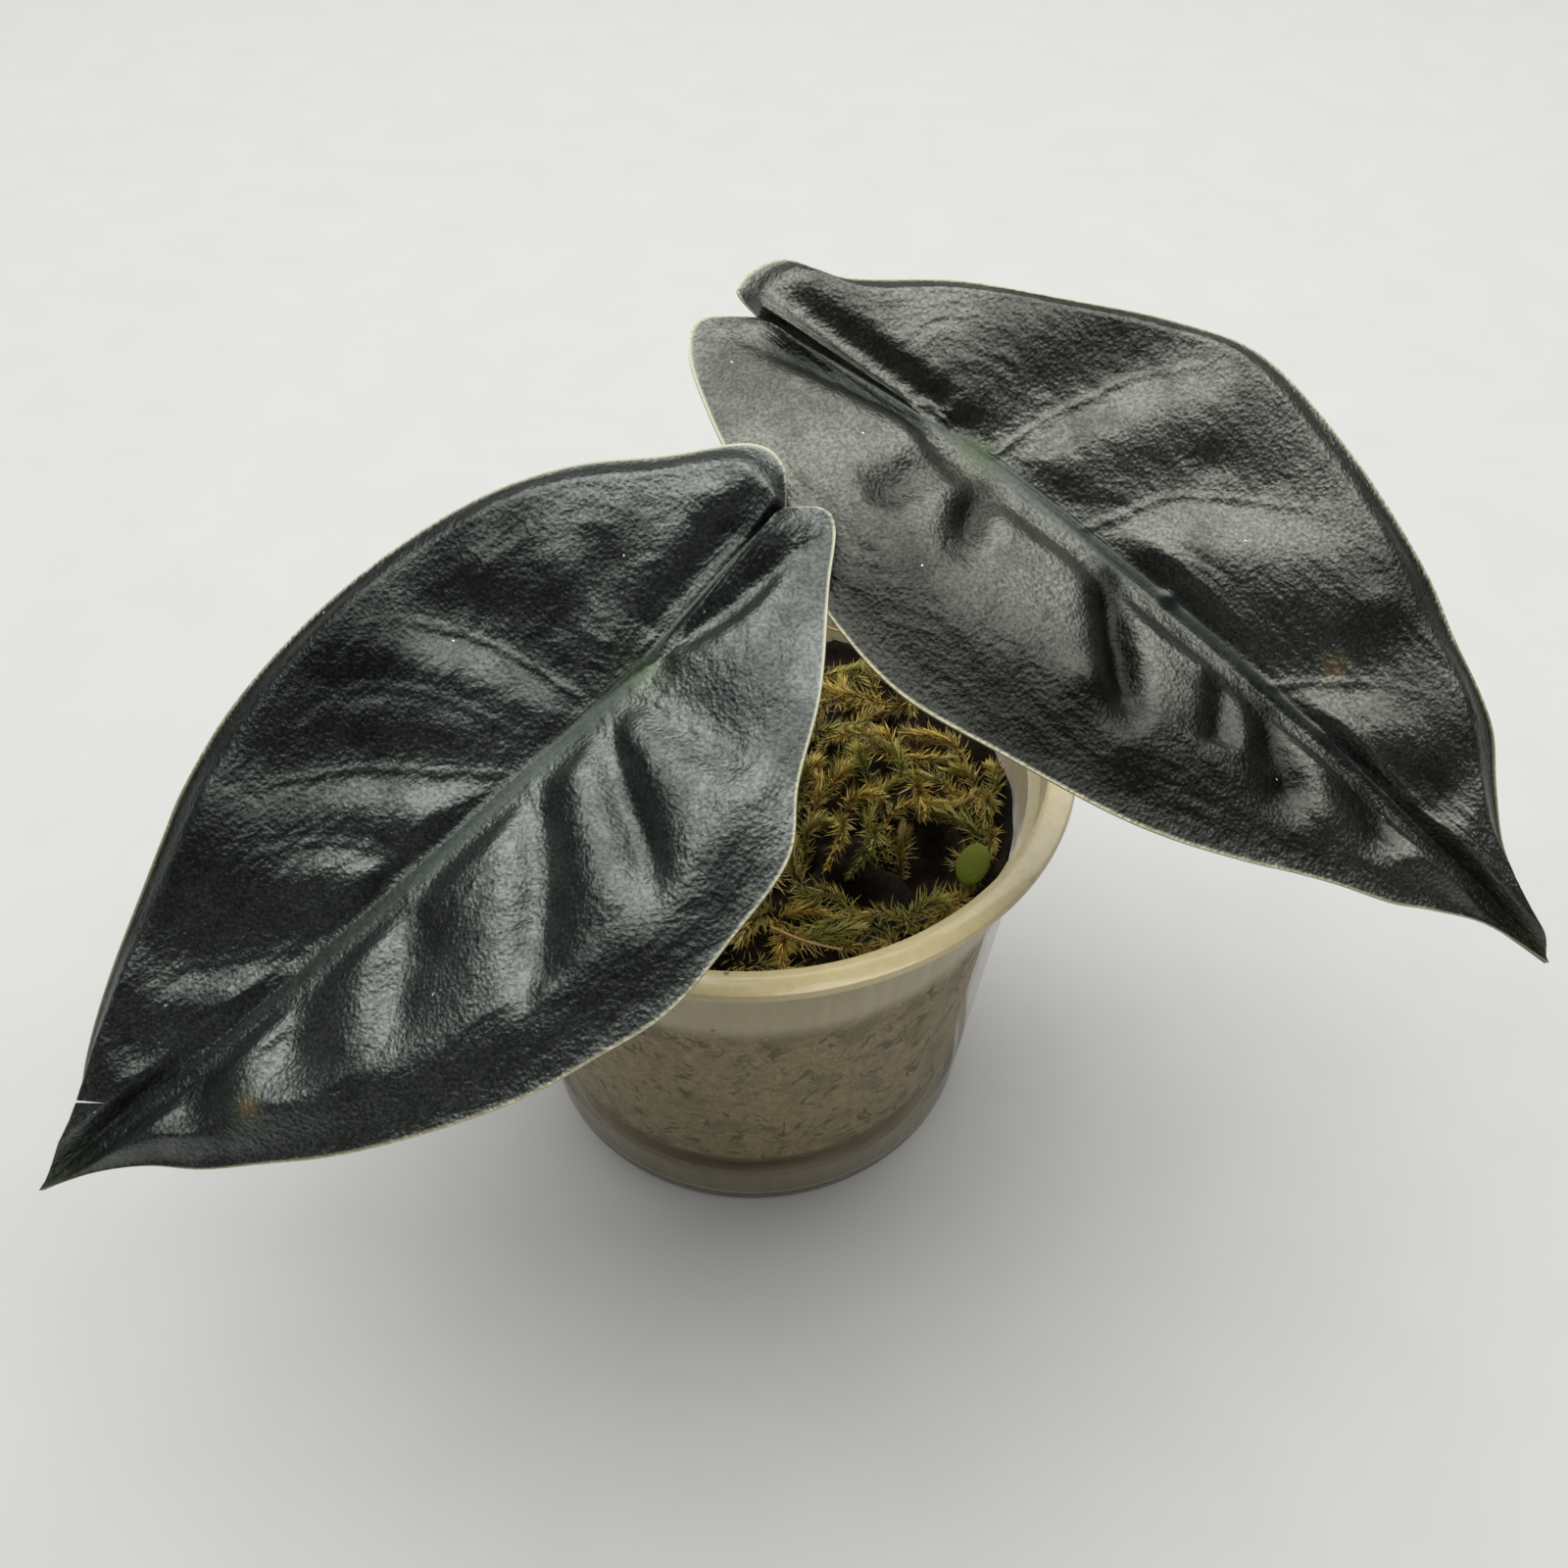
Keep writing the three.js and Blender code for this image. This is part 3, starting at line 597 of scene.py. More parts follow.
def eased(start, end, leaving, entering, t):
    """A smooth way from start to end, with its pace as it leaves and as it enters."""
    turn = 3 * (end - start) - 2 * leaving - entering
    return start + t * (leaving + t * (turn + t * (2 * (start - end) + leaving + entering)))


def curve_through(rows, q):
    """A smooth line through evenly timed points."""
    last = len(rows) - 1
    k = np.minimum(q.astype(int), last - 1)
    t = (q - k)[:, None]
    start, end = rows[k], rows[k + 1]
    leaving = (end - rows[np.maximum(k - 1, 0)]) / 2
    entering = (rows[np.minimum(k + 2, last)] - start) / 2
    return eased(start, end, leaving, entering, t)


def from_curve(stops, place):
    """How far points lie from a curve, to its left positive, and how far along it, 0 to 1."""
    last = len(stops) - 1
    count = 6 * last
    line = curve_through(stops, np.linspace(0, last, count + 1))
    nearest = np.full(len(place), np.inf)
    gap = np.zeros(len(place))
    share = np.zeros(len(place))
    for k in range(count):
        way = line[k + 1] - line[k]
        off = place - line[k]
        t = np.clip(off @ way / (way @ way), 0, 1)
        distance = np.hypot(*(off - t[:, None] * way).T)
        closer = distance < nearest
        nearest[closer] = distance[closer]
        leftward = np.sign(way[0] * off[:, 1] - way[1] * off[:, 0])
        gap[closer] = (distance * leftward)[closer]
        share[closer] = ((k + t) / count)[closer]
    return gap, share


class BladeShape:
    """The form of a blade, worked out from its rows."""

    def __init__(self, plan):
        rows = plan["rows"]
        self.plan = plan
        self.length = plan["length"]
        self.last = len(rows) - 1
        self.roots = np.array([row[0] for row in rows], float)
        self.margins = {
            1: np.array([row[1] for row in rows], float),
            -1: np.array([row[2] for row in rows], float),
        }
        self.notch = rows[0][1]
        self.veins = {1: plan["left_veins"], -1: plan["right_veins"]}

    def root_at(self, q):
        return np.interp(q, np.arange(self.last + 1), self.roots)

    def midrib(self, root):
        back = root * self.notch[1] / self.notch[0]
        front = self.plan["midrib_bow"] * np.sin(math.pi * root / self.length)
        return np.stack([root, np.where(root < 0, back, front)], 1)

    def flat(self, side, q, r):
        """The place in the blade's plane, r of the way from the midrib to a margin."""
        start = self.midrib(self.root_at(q))
        left = curve_through(self.margins[1], q)
        right = curve_through(self.margins[-1], q)
        reach = np.where(side[:, None] > 0, left, right) - start
        bow = VEIN_BOW * reach[:, 0] * r * (1 - r)
        return start + reach * r[:, None] - np.stack([bow, np.zeros_like(bow)], 1)

    def rise(self, x, y):
        """Height of the smooth surface: an arch along the blade and a keel across it."""
        front = TIP_DROOP * (x / self.length) ** 2
        droop = np.where(x > 0, front, BACK_DROOP * (x / BACK_REACH) ** 2)
        along = np.clip(x / self.length, 0, 0.96)
        half = HALF_WIDTH * np.sqrt(1 - along * along)
        return KEEL_SLOPE * np.abs(y) * (1 - KEEL_EASE * np.abs(y) / half) - droop

    def vein_relief(self, side, place):
        """How much height the veins leave the pillows, and how near a point is to a vein."""
        left = np.ones(len(place))
        line = np.zeros(len(place))
        for half, veins in self.veins.items():
            here = side == half
            for depth, behind, ahead, clearness, stops in veins:
                gap, share = from_curve(np.array(stops, float), place[here])
                gap *= -half
                hollow = np.exp(-(gap / np.where(gap < 0, behind, ahead)) ** 2)
                fade = 1 - smooth((share - 0.6) / 0.4)
                left[here] *= 1 - depth * hollow * fade
                ridge = clearness * fade * np.exp(-(gap / VEIN_WIDTH) ** 2)
                line[here] = np.maximum(line[here], ridge)
        return left, line

    def pillows(self, side, r, across):
        """Height of the blade between its veins, without them."""
        shelf = np.where(side > 0, *self.plan["shelf"])
        brim = np.where(side > 0, *self.plan["brim"])
        envelope = smooth((np.abs(across) - shelf) / PILLOW_RISE)
        return PILLOW_HEIGHT * (envelope * (1 - smooth((r - brim) / (1 - brim))))

    def swell(self, place):
        swellings = self.plan["swellings"]
        return sum(height * round_spot(place, spot, radius) for spot, radius, height in swellings)

    def thick(self, q, r, place, line):
        """Thickness of the blade, with the midrib, the veins and the joint standing out below."""
        rib = np.exp(-(r / 0.05) ** 2) * smooth((self.last - q) / 5)
        rib *= MIDRIB_DEPTH * np.where(self.root_at(q) < 0, 0.7, 1)
        boss = BOSS_DEPTH * round_spot(place, (0, 0), BOSS_RADIUS)
        thin = (BLADE_THICK - MARGIN_THICK) * smooth((r - 0.93) / 0.07)
        return BLADE_THICK - thin + rib + boss + VEIN_DEPTH * line

    def even_lines(self, count):
        """Values of q that space the lines evenly along the margins and the midrib."""
        fine = np.linspace(0, self.last, 4000)
        travel = np.zeros(len(fine) - 1)
        for line in (
            curve_through(self.margins[1], fine),
            curve_through(self.margins[-1], fine),
            self.midrib(self.root_at(fine)),
        ):
            travel += np.hypot(*np.diff(line, axis=0).T)
        gone = np.concatenate([[0], np.cumsum(travel)])
        return np.interp(np.linspace(0, gone[-1], count), gone, fine), gone[-1] / 3


def wrinkles(along, across, seed):
    """Fine creases that run along the blade, from -1 to 1."""
    heights = np.empty(len(along))
    for i, (a, c) in enumerate(zip(along, across)):
        sway = ripple(a * 0.12, c * 0.12, seed)
        heights[i] = ripple(a * 0.22, c * 0.75 + 2.2 * sway, seed + 7)
    return heights


def lean_of(plan):
    return Euler([math.radians(plan[a]) for a in ("roll", "dip", "heading")], "XYZ")


def make_blade(plan, upper, under, margin):
    shape = BladeShape(plan)
    columns = 2 * BLADE_COLUMNS
    obj = added(
        plan["name"] + "_skin", bpy.ops.mesh.primitive_grid_add,
        x_subdivisions=BLADE_LINES, y_subdivisions=columns, size=2,
    )
    grid = points_of(obj)
    line = np.rint((grid[:, 0] + 1) / 2 * BLADE_LINES).astype(int)
    column = np.rint((grid[:, 1] + 1) / 2 * columns).astype(int) - BLADE_COLUMNS
    lines, reach = shape.even_lines(BLADE_LINES + 1)
    q = lines[line]
    side = np.where(column >= 0, 1, -1)
    r = np.abs(column) / BLADE_COLUMNS
    place = shape.flat(side, q, r)
    along = line / BLADE_LINES * reach
    across = side * np.hypot(*(place - shape.midrib(shape.root_at(q))).T)
    creases = wrinkles(along, across, plan["heading"])
    left_over = shape.last - q
    calm = smooth(r / 0.12) * smooth((1 - r) / 0.08) * smooth(q / 1.5) * smooth(left_over / 2)
    rib_width = 0.95 * smooth(left_over / 6) + 0.25
    rib = np.exp(-(across / rib_width) ** 4) * smooth(left_over / 3) * smooth(q / 0.6)
    left, vein = shape.vein_relief(side, place)
    top = shape.rise(*place.T) + shape.pillows(side, r, across) * left + shape.swell(place)
    top += CREASE_RISE * creases * calm + RIB_RISE * rib + VEIN_RISE * vein
    low = top - shape.thick(q, r, place, vein)
    paint(obj, "rib", rib)
    paint(obj, "vein", vein)
    paint(obj, "edge", smooth((r - 0.991) / 0.009))
    paint(obj, "joint", round_spot(place, plan["green"], GREEN_RADIUS))
    paint(obj, "tip", smooth((place[:, 0] / shape.length - 0.86) / 0.14))
    # Painted shade: masks that dim the glint on the right half towards its margin, fading near the
    # notch and the tip, and in that half's vein hollows
    middle = smooth((place[:, 0] + 15) / 20) * (1 - smooth((place[:, 0] - 38) / 25))
    paint(obj, "shade", (side < 0) * smooth((r - 0.25) / 0.5) * middle)
    paint(obj, "hollow", (side < 0) * np.clip(1 - left, 0, 1) * (1 - smooth((r - 0.6) / 0.3)))
    paint(obj, "spot", round_spot(place, plan["spot"], SPOT_RADIUS))
    map_surface(obj, np.stack([along, across], 1))
    move_points(obj, np.column_stack([place, top]) * MM)
    count = len(grid)
    cover(obj, upper, under, margin)
    shell = obj.modifiers.new("shell", "SOLIDIFY")
    shell.thickness = BLADE_THICK * MM
    shell.offset = -1
    shell.material_offset = 1
    shell.material_offset_rim = 2
    apply_all(obj)
    points = points_of(obj)
    points[count:] = np.column_stack([place, low]) * MM
    move_points(obj, points)
    in_edit(obj, close_seams, drop_slivers)
    if plan["tear"]:
        tear_margin(obj, plan["tear"], margin)
    soft_shade(obj, 50)
    obj.rotation_euler = lean_of(plan)
    obj.location = Vector(plan["joint"]) * MM
    finished(obj, "blade", plan["name"])


def tear_margin(obj, tear, margin):
    """A short split that runs in from the margin, cut by a thin wedge."""
    start, end = np.array(tear["from"], float), np.array(tear["to"], float)
    ahead = (end - start) / np.hypot(*(end - start))
    aside = np.array([-ahead[1], ahead[0]]) * tear["width"] / 2
    prism = bpy.ops.mesh.primitive_cone_add
    wedge = added("wedge", prism, vertices=3, radius1=1, radius2=1, depth=2)
    corners = [start - aside, end, start + aside]
    points = []
    for corner in points_of(wedge):
        k = int(round(math.atan2(corner[0], corner[1]) / (2 * math.pi / 3))) % 3
        points.append((*(corners[k] * MM), corner[2] * 0.02))
    move_points(wedge, points)
    in_edit(wedge, face_outwards)
    cover(wedge, margin)
    carve(obj, wedge)


def upper_face(name, tint, vein_tint, sheen, shade, hollow_shade):
    """Near-black leather with a satin glint that pebbles and fine creases break up.

    Metallic only dims the glint here, because a near-black metal hardly reflects. The two shades
    are
    painted shade: how much of the glint is lost on the blade's right half and in the hollows there.
    """
    leaf = Finish(name, Specular_IOR_Level=1.0, IOR=1.7, Specular_Tint=sheen)
    body = leaf.place()
    surface = leaf.surface_place()
    sway = leaf.cloud(body, 0.11, 3, 0.5)
    pebbles = leaf.cells(body, 2)
    grain = leaf.cloud(body, 2.4, 4, 0.65)
    creases = leaf.cloud(leaf.bent(leaf.surface_place((0.3, 0.75, 1)), sway, 9), 0.9, 4, 0.6, 0.4)
    folds = leaf.cloud(body, 0.28, 3, 0.55, 0.8)
    patches = leaf.cloud(body, 0.07, 4, 0.6)
    smooth_rib = 1 - leaf.painted("rib")
    spot = leaf.painted("spot")
    dust = leaf.cells(surface, 0.18)
    colour = leaf.layers(
        leaf.mix(patches, tint, tuple(c * 1.7 for c in tint)),
        (leaf.painted("vein") * 0.5, vein_tint),
        (leaf.painted("rib") * 0.8, tuple(c * 1.4 for c in vein_tint)),
        (leaf.painted("joint") * 0.8, (0.022, 0.036, 0.009)),
        (leaf.painted("tip") * 0.6, (0.035, 0.050, 0.016)),
        (leaf.between(spot, 0.05, 0.5) * 0.7, (0.030, 0.040, 0.014)),
        (leaf.between(spot, 0.5, 0.8) * 0.8, (0.085, 0.045, 0.018)),
        (1 - leaf.between(dust, 0.014, 0.034), (0.6, 0.62, 0.58)),
        (leaf.painted("edge"), (0.30, 0.28, 0.17)),
    )
    mottle = leaf.between(grain, 0.36, 0.66)
    bright = 0.5 + 0.5 * mottle
    # Losses of the glint: painted shade on the right half and in its hollows, then the duller
    # patches and the matte midrib
    for loss in (
        shade * leaf.painted("shade"), hollow_shade * leaf.painted("hollow"),
        0.4 * leaf.between(patches, 0.46, 0.62), 0.6 * leaf.painted("rib"),
    ):
        bright = bright * (1 - loss)
    dull = (1 - bright) * (1 - leaf.painted("edge"))
    roughness = 0.32 + 0.10 * grain + 0.05 * patches
    normal = None
    for height, depth in ((folds, 0.24), (creases, 0.13), (pebbles, 0.06), (grain, 0.05)):
        normal = leaf.relief(height * smooth_rib, depth, normal)
    return leaf.finish(Base_Color=colour, Metallic=dull, Roughness=roughness, Normal=normal)


def under_face():
    """Dull dusky purple-green with paler veins."""
    leaf = Finish("leaf_under", Specular_IOR_Level=0.3)
    patches = leaf.cloud(leaf.place(), 0.12, 4, 0.6)
    grain = leaf.cloud(leaf.place(), 1.6, 3, 0.6)
    colour = leaf.layers(
        leaf.mix(patches, (0.040, 0.026, 0.030), (0.050, 0.055, 0.040)),
        (leaf.painted("vein") * 0.6, (0.12, 0.13, 0.075)),
        (leaf.painted("rib"), (0.15, 0.15, 0.085)),
    )
    return leaf.finish(
        Base_Color=colour, Roughness=0.5 + 0.2 * grain, Normal=leaf.relief(grain, 0.06))


def leaf_margin():
    """The thin pale edge of a blade."""
    edge = Finish("leaf_margin", Roughness=0.5)
    patches = edge.cloud(edge.place(), 0.3, 3)
    return edge.finish(Base_Color=edge.mix(patches, (0.24, 0.21, 0.12), (0.46, 0.42, 0.28)))


# The pot

def wall_radius(z):
    share = z / (POT_HEIGHT - RIM_THICK - COLLAR_DROP)
    return FOOT_RADIUS + (SHOULDER_RADIUS - FOOT_RADIUS) * share


def inside_profile(top, gap):
    """Inside of the wall, from the middle of the floor up to a height, drawn in by a gap."""
    floor = FLOOR_UNDERSIDE + FLOOR_THICK + gap
    points = [(0, floor)]
    for k in range(CORNER_STEPS + 1):
        turn = k / CORNER_STEPS * math.pi / 2
        z = floor + CORNER_ROUNDING * (1 - math.cos(turn))
        wall = wall_radius(z) - WALL - gap
        points.append((wall - CORNER_ROUNDING * (1 - math.sin(turn)), z))
    points.append((wall_radius(top) - WALL - gap, top))
    return points


def make_pot(material):
    under_rim = POT_HEIGHT - RIM_THICK
    collar_foot = under_rim - COLLAR_DROP
    foot_inner = FOOT_RADIUS - FOOT_RING_WIDTH
    outline = [
        (0, 0),
        (HUB_RADIUS, 0),
        (HUB_RADIUS - 0.5, FLOOR_UNDERSIDE),
        (foot_inner - 0.4, FLOOR_UNDERSIDE),
        (foot_inner, 0.4),
        (foot_inner + 0.3, 0),
        (FOOT_RADIUS - 0.4, 0),
        (FOOT_RADIUS, 0.5),
        (SHOULDER_RADIUS, collar_foot),
        (COLLAR_RADIUS, collar_foot + 0.6),
        (COLLAR_RADIUS + 0.2, under_rim),
        (RIM_RADIUS - 0.3, under_rim),
        (RIM_RADIUS, under_rim + 0.4),
        (RIM_RADIUS, POT_HEIGHT - 0.5),
        (RIM_RADIUS - 0.15, POT_HEIGHT - 0.2),
        (RIM_RADIUS - 0.6, POT_HEIGHT),
        (MOUTH_RADIUS + 0.4, POT_HEIGHT),
        (MOUTH_RADIUS + 0.1, POT_HEIGHT - 0.15),
        (MOUTH_RADIUS, POT_HEIGHT - 0.5),
        (COLLAR_RADIUS - WALL - 0.2, collar_foot + 0.2),
        *reversed(inside_profile(collar_foot - 1, 0)),
    ]
    pot = turned("pot_shell", outline, POT_SIDES)
    for k in range(DRAIN_HOLES):
        turn = 2 * math.pi * k / DRAIN_HOLES
        x, y = DRAIN_CIRCLE * math.cos(turn), DRAIN_CIRCLE * math.sin(turn)
        carve(pot, rod("drain", DRAIN_RADIUS, 1, 12, 32, x, y))
    dressed(pot, material, "pot_plastic", "pot", angle=35)


def pot_plastic():
    """Milky clear plastic, cream and nearly opaque above the moss, with scuffs and specks."""
    plastic = Finish("pot_plastic", IOR=1.5, Coat_Roughness=0.05)
    body = plastic.place()
    height = plastic.axis(body, 2)
    turn = plastic.sum("ARCTAN2", plastic.axis(body, 1), plastic.axis(body, 0))
    collar_foot = POT_HEIGHT - RIM_THICK - COLLAR_DROP
    rim = plastic.between(height, collar_foot + 0.5, POT_HEIGHT - RIM_THICK)
    upper = plastic.between(height, MOSS_LEVEL - 7, MOSS_LEVEL - 2.5)
    foot = 1 - plastic.between(height, 7, 11)
    ring = 1 - plastic.between(height, 2.4, 2.7)
    ledge = ring * plastic.between(height, 2.0, 2.3)
    collar = plastic.between(height, collar_foot, collar_foot + 0.4) * (1 - rim)
    ticks = plastic.between(plastic.sum("SINE", turn * 62), 0.75, 0.95) * collar
    streaks = plastic.cloud(plastic.place((0.5, 0.5, 0.02)), 1.1, 3, 0.6)
    smudges = plastic.cloud(body, 0.09, 4, 0.6)
    specks = plastic.cells(body, 0.22)
    scuffs = plastic.cloud(plastic.place((1, 1, 0.3)), 0.7, 4, 0.7)
    dirt = (1 - plastic.between(specks, 0.05, 0.11)) * plastic.between(smudges, 0.48, 0.56)
    corner = plastic.mix(smudges, (0.30, 0.24, 0.13), (0.44, 0.37, 0.22))
    colour = plastic.layers(
        plastic.mix(upper, (0.56, 0.47, 0.28), (0.66, 0.57, 0.36)),
        (rim, (0.74, 0.62, 0.34)),
        (smudges * 0.35, (0.46, 0.38, 0.20)),
        (plastic.between(scuffs, 0.58, 0.7) * 0.35, (0.82, 0.78, 0.62)),
        (ticks * 0.6, (0.25, 0.18, 0.08)),
        (dirt * 0.75, (0.12, 0.09, 0.045)),
        (foot * (1 - ring), corner),
        (ledge, (0.75, 0.70, 0.52)),
    )
    body_alpha = 0.21 + 0.3 * (streaks - 0.5) + foot * 0.45 - ring * 0.3 + ledge * 0.4
    alpha = body_alpha + upper * 0.6 + rim * 0.1
    return plastic.finish(
        Base_Color=colour, Roughness=0.22 + 0.25 * smudges, Alpha=alpha, Coat_Weight=0.4,
        Normal=plastic.relief(streaks, 0.08),
    )


# The moss

def moss_height(x, y):
    radius = np.hypot(x, y)
    edge = radius / (wall_radius(MOSS_LEVEL) - WALL)
    lumps = np.sin(x * 0.31 + 1.3) * np.cos(y * 0.27 - 0.6)
    lumps = lumps + 0.6 * np.sin(x * 0.55 - y * 0.47 + 2.1) + 0.4 * np.cos(x * 0.83 + y * 0.71)
    calm = smooth((radius - STEM_RADIUS) / 8)
    return MOSS_LEVEL - MOSS_EDGE_DIP * edge ** 6 + MOSS_LUMPS * lumps * calm


def hollow(x, y):
    """How deep the dark gaps between the moss clumps are, 0 where there is none."""
    return max(0.0, ripple(x * 0.15, y * 0.15, 3.3) - 0.05)


def make_moss_bed(material):
    """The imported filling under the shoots, with hollows between them."""
    level = MOSS_LEVEL - 2.5
    side = inside_profile(level - 6, GAP)
    edge = wall_radius(level) - WALL - GAP
    rows = 36
    over = [(edge * math.sqrt(1 - k / rows), level) for k in range(rows)]
    bed = turned("moss_bed", [*side, *over, (0, level)], POT_SIDES)
    points = points_of(bed) / MM
    top = smooth((points[:, 2] - (level - 5)) / 5)
    radius = np.hypot(points[:, 0], points[:, 1])
    surface = moss_height(points[:, 0], points[:, 1]) - MOSS_BED_DROP
    surface += 3 * smooth((radius - edge + 2.3) / 2)
    inner = 1 - smooth((radius - 29) / 6)
    for i, point in enumerate(points):
        crumbs = ripple(*point * 0.5) + 0.5 * ripple(*point * 1.1)
        aim = surface[i] + 1.1 * crumbs - HOLLOW_DEPTH * hollow(point[0], point[1]) * inner[i]
        points[i, 2] += top[i] * (aim - level)
    paint(bed, "top", top)
    move_points(bed, points * MM)
    dressed(bed, material, "moss", "moss", angle=80)


def moss_bed_finish():
    """Near-black on top, a painted shade for the gaps between the shoots; pressed beige fibres with
    short dark strands behind the wall.
    """
    bed = Finish("moss_bed", Specular_IOR_Level=0.2, Roughness=0.9)
    body = bed.place()
    fibres = bed.cloud(body, 0.9, 5, 0.7, 1.0)
    clumps = bed.cloud(body, 0.13, 4, 0.6)
    wander = bed.cloud(body, 0.17, 2, 0.5, 1.2)
    strand = 1 - bed.between(bed.sum("ABSOLUTE", wander - 0.5), 0.020, 0.042)
    broken = bed.between(bed.cloud(body, 0.27, 3, 0.5), 0.49, 0.55)
    pressed = bed.ramp(fibres, [
        (0.28, (0.11, 0.08, 0.03)), (0.46, (0.38, 0.29, 0.14)), (0.62, (0.66, 0.54, 0.31)),
    ])
    # Painted shade: near-black for the bed's top, which shows only in the gaps between the shoots
    painted_gap_shade = bed.ramp(fibres, [(0.35, (0.003, 0.002, 0.001)), (0.7, (0.022, 0.014, 0.006))])
    colour = bed.layers(
        pressed,
        (bed.between(clumps, 0.52, 0.66) * 0.75, (0.12, 0.12, 0.04)),
        (bed.between(1 - clumps, 0.54, 0.68) * 0.7, (0.09, 0.05, 0.02)),
        (strand * broken, (0.016, 0.012, 0.006)),
        (bed.between(bed.painted("top"), 0.45, 0.85), painted_gap_shade),
    )
    return bed.finish(Base_Color=colour, Normal=bed.relief(fibres, 0.5))


class Leaflets:
    """Gathers slim pointed leaflets, all of one small form, into a single mesh."""

    def __init__(self):
        ring = [(0.5, 0.0), (0.0, 0.32), (-0.5, 0.0)]
        form = [(0, 0, 0)]
        form += [(0.75 * x, y, 0.3) for x, y in ring]
        form += [(0.6 * x, 0.8 * y, 0.68) for x, y in ring]
        form += [(0, 0, 1)]
        self.form = np.array(form, float)
        faces = [(0, 2, 1), (0, 3, 2), (0, 1, 3)]
        for a, b in ((1, 2), (2, 3), (3, 1)):
            faces += [(a, b, b + 3), (a, b + 3, a + 3)]
        faces += [(4, 5, 7), (5, 6, 7), (6, 4, 7)]
        self.faces = np.array(faces)
        self.points = []
        self.tones = []
        self.tips = []

    def add(self, base, way, back, length, width, curl, tone):
        """A leaflet that grows along way and curls towards back."""
        aside = np.cross(way, back)
        x, y, z = self.form.T
        line = np.outer(z * length, way) + np.outer(curl * length * z * z, back)
        spread = np.outer(x * width, aside) + np.outer(y * width, back)
        self.points.append(base + line + spread)
        self.tones.append(np.full(len(self.form), tone))
        self.tips.append(z)

    def build(self, name):
        points = np.concatenate(self.points) * MM
        count = len(self.points)
        faces = (self.faces[None] + np.arange(count)[:, None, None] * len(self.form)).reshape(-1, 3)
        mesh = bpy.data.meshes.new(name)
        mesh.from_pydata(points.tolist(), [], faces.tolist())
        obj = new_object(name, mesh)
        paint(obj, "tone", np.concatenate(self.tones))
        paint(obj, "tip", np.concatenate(self.tips))
        in_edit(obj, face_outwards)
        return obj


def shoot_line(start, heading, length, lift, bend, steps):
    """Points along an arched shoot that rises from the moss and dips again."""
    along = np.array([math.cos(heading), math.sin(heading), 0])
    aside = np.array([-along[1], along[0], 0])
    stops = np.array([
        start + along * forward * length + aside * sideways * bend + np.array([0, 0, up])
        for forward, sideways, up in (
            (-0.5, 0.3, -2.6), (-0.15, 0, lift * 0.6), (0.2, 0.1, lift), (0.5, 0.4, lift * 0.5),
        )
    ])
    return curve_through(stops, np.linspace(0, len(stops) - 1, steps))


def dress_shoot(leaflets, line, radius, tone, draw):
    """Rings of leaflets all along a shoot, long at its middle and short at its tip."""
    steps = len(line)
    for i in range(steps - 1):
        axis = unit(line[i + 1] - line[i])
        first = unit(np.cross(axis, (0, 0, 1)))
        second = np.cross(axis, first)
        share = i / (steps - 1)
        size = radius * (0.75 + 0.5 * math.sin(math.pi * share)) * (1 - 0.45 * share ** 3)
        for k in range(LEAFLETS_AROUND):
            turn = 2 * math.pi * (k + draw()) / LEAFLETS_AROUND
            outward = first * math.cos(turn) + second * math.sin(turn)
            way = unit(outward + axis * (0.1 + 1.3 * draw() + 0.7 * share ** 2))
            back = unit(np.cross(np.cross(way, outward), way))
            leaflets.add(
                line[i] + axis * 0.4 * draw(), way, -back,
                size * (0.6 + 0.8 * draw()), 0.24 + 0.14 * draw(),
                0.8 * (draw() - 0.4), tone + 0.3 * (draw() - 0.5),
            )


def fits(line):
    """Whether a shoot stays in the pot and clear of the stem."""
    reach = np.hypot(line[:, 0], line[:, 1]).max()
    stem = np.hypot(line[:, 0] - STEM_PLACE[0], line[:, 1] - STEM_PLACE[1]).min()
    return reach < wall_radius(MOSS_LEVEL) - WALL - 2.6 and stem > STEM_RADIUS + 1.5


def make_moss_shoots(material):
    draw = np.random.default_rng(SEED).random
    golden_angle = math.pi * (3 - math.sqrt(5))
    reach = wall_radius(MOSS_LEVEL) - WALL - 2
    heaps = [Leaflets() for _ in range(SHOOT_PIECES)]
    for k in range(SHOOT_COUNT):
        radius = reach * math.sqrt((k + 3) / (SHOOT_COUNT + 2))
        turn = k * golden_angle
        x, y = radius * math.cos(turn), radius * math.sin(turn)
        if hollow(x, y) > 0.03:
            continue
        for _ in range(12):
            heading = draw() * 2 * math.pi
            length = SHOOT_LENGTH * (0.5 + 0.6 * draw())
            lift = 0.2 + 3.4 * draw()
            bend = (draw() - 0.5) * 2 * length
            start = np.array([x, y, moss_height(x, y) - 1.2])
            line = shoot_line(start, heading, length, lift, bend, SHOOT_STEPS)
            if fits(line):
                tone = draw()
                size = SHOOT_RADIUS * (0.75 + 0.4 * draw())
                dress_shoot(heaps[k % SHOOT_PIECES], line, size, tone, draw)
                break
    for number, heap in enumerate(heaps, 1):
        shoots = heap.build(f"moss_shoots_{number}")
        cover(shoots, material)
        finished(shoots, "moss")


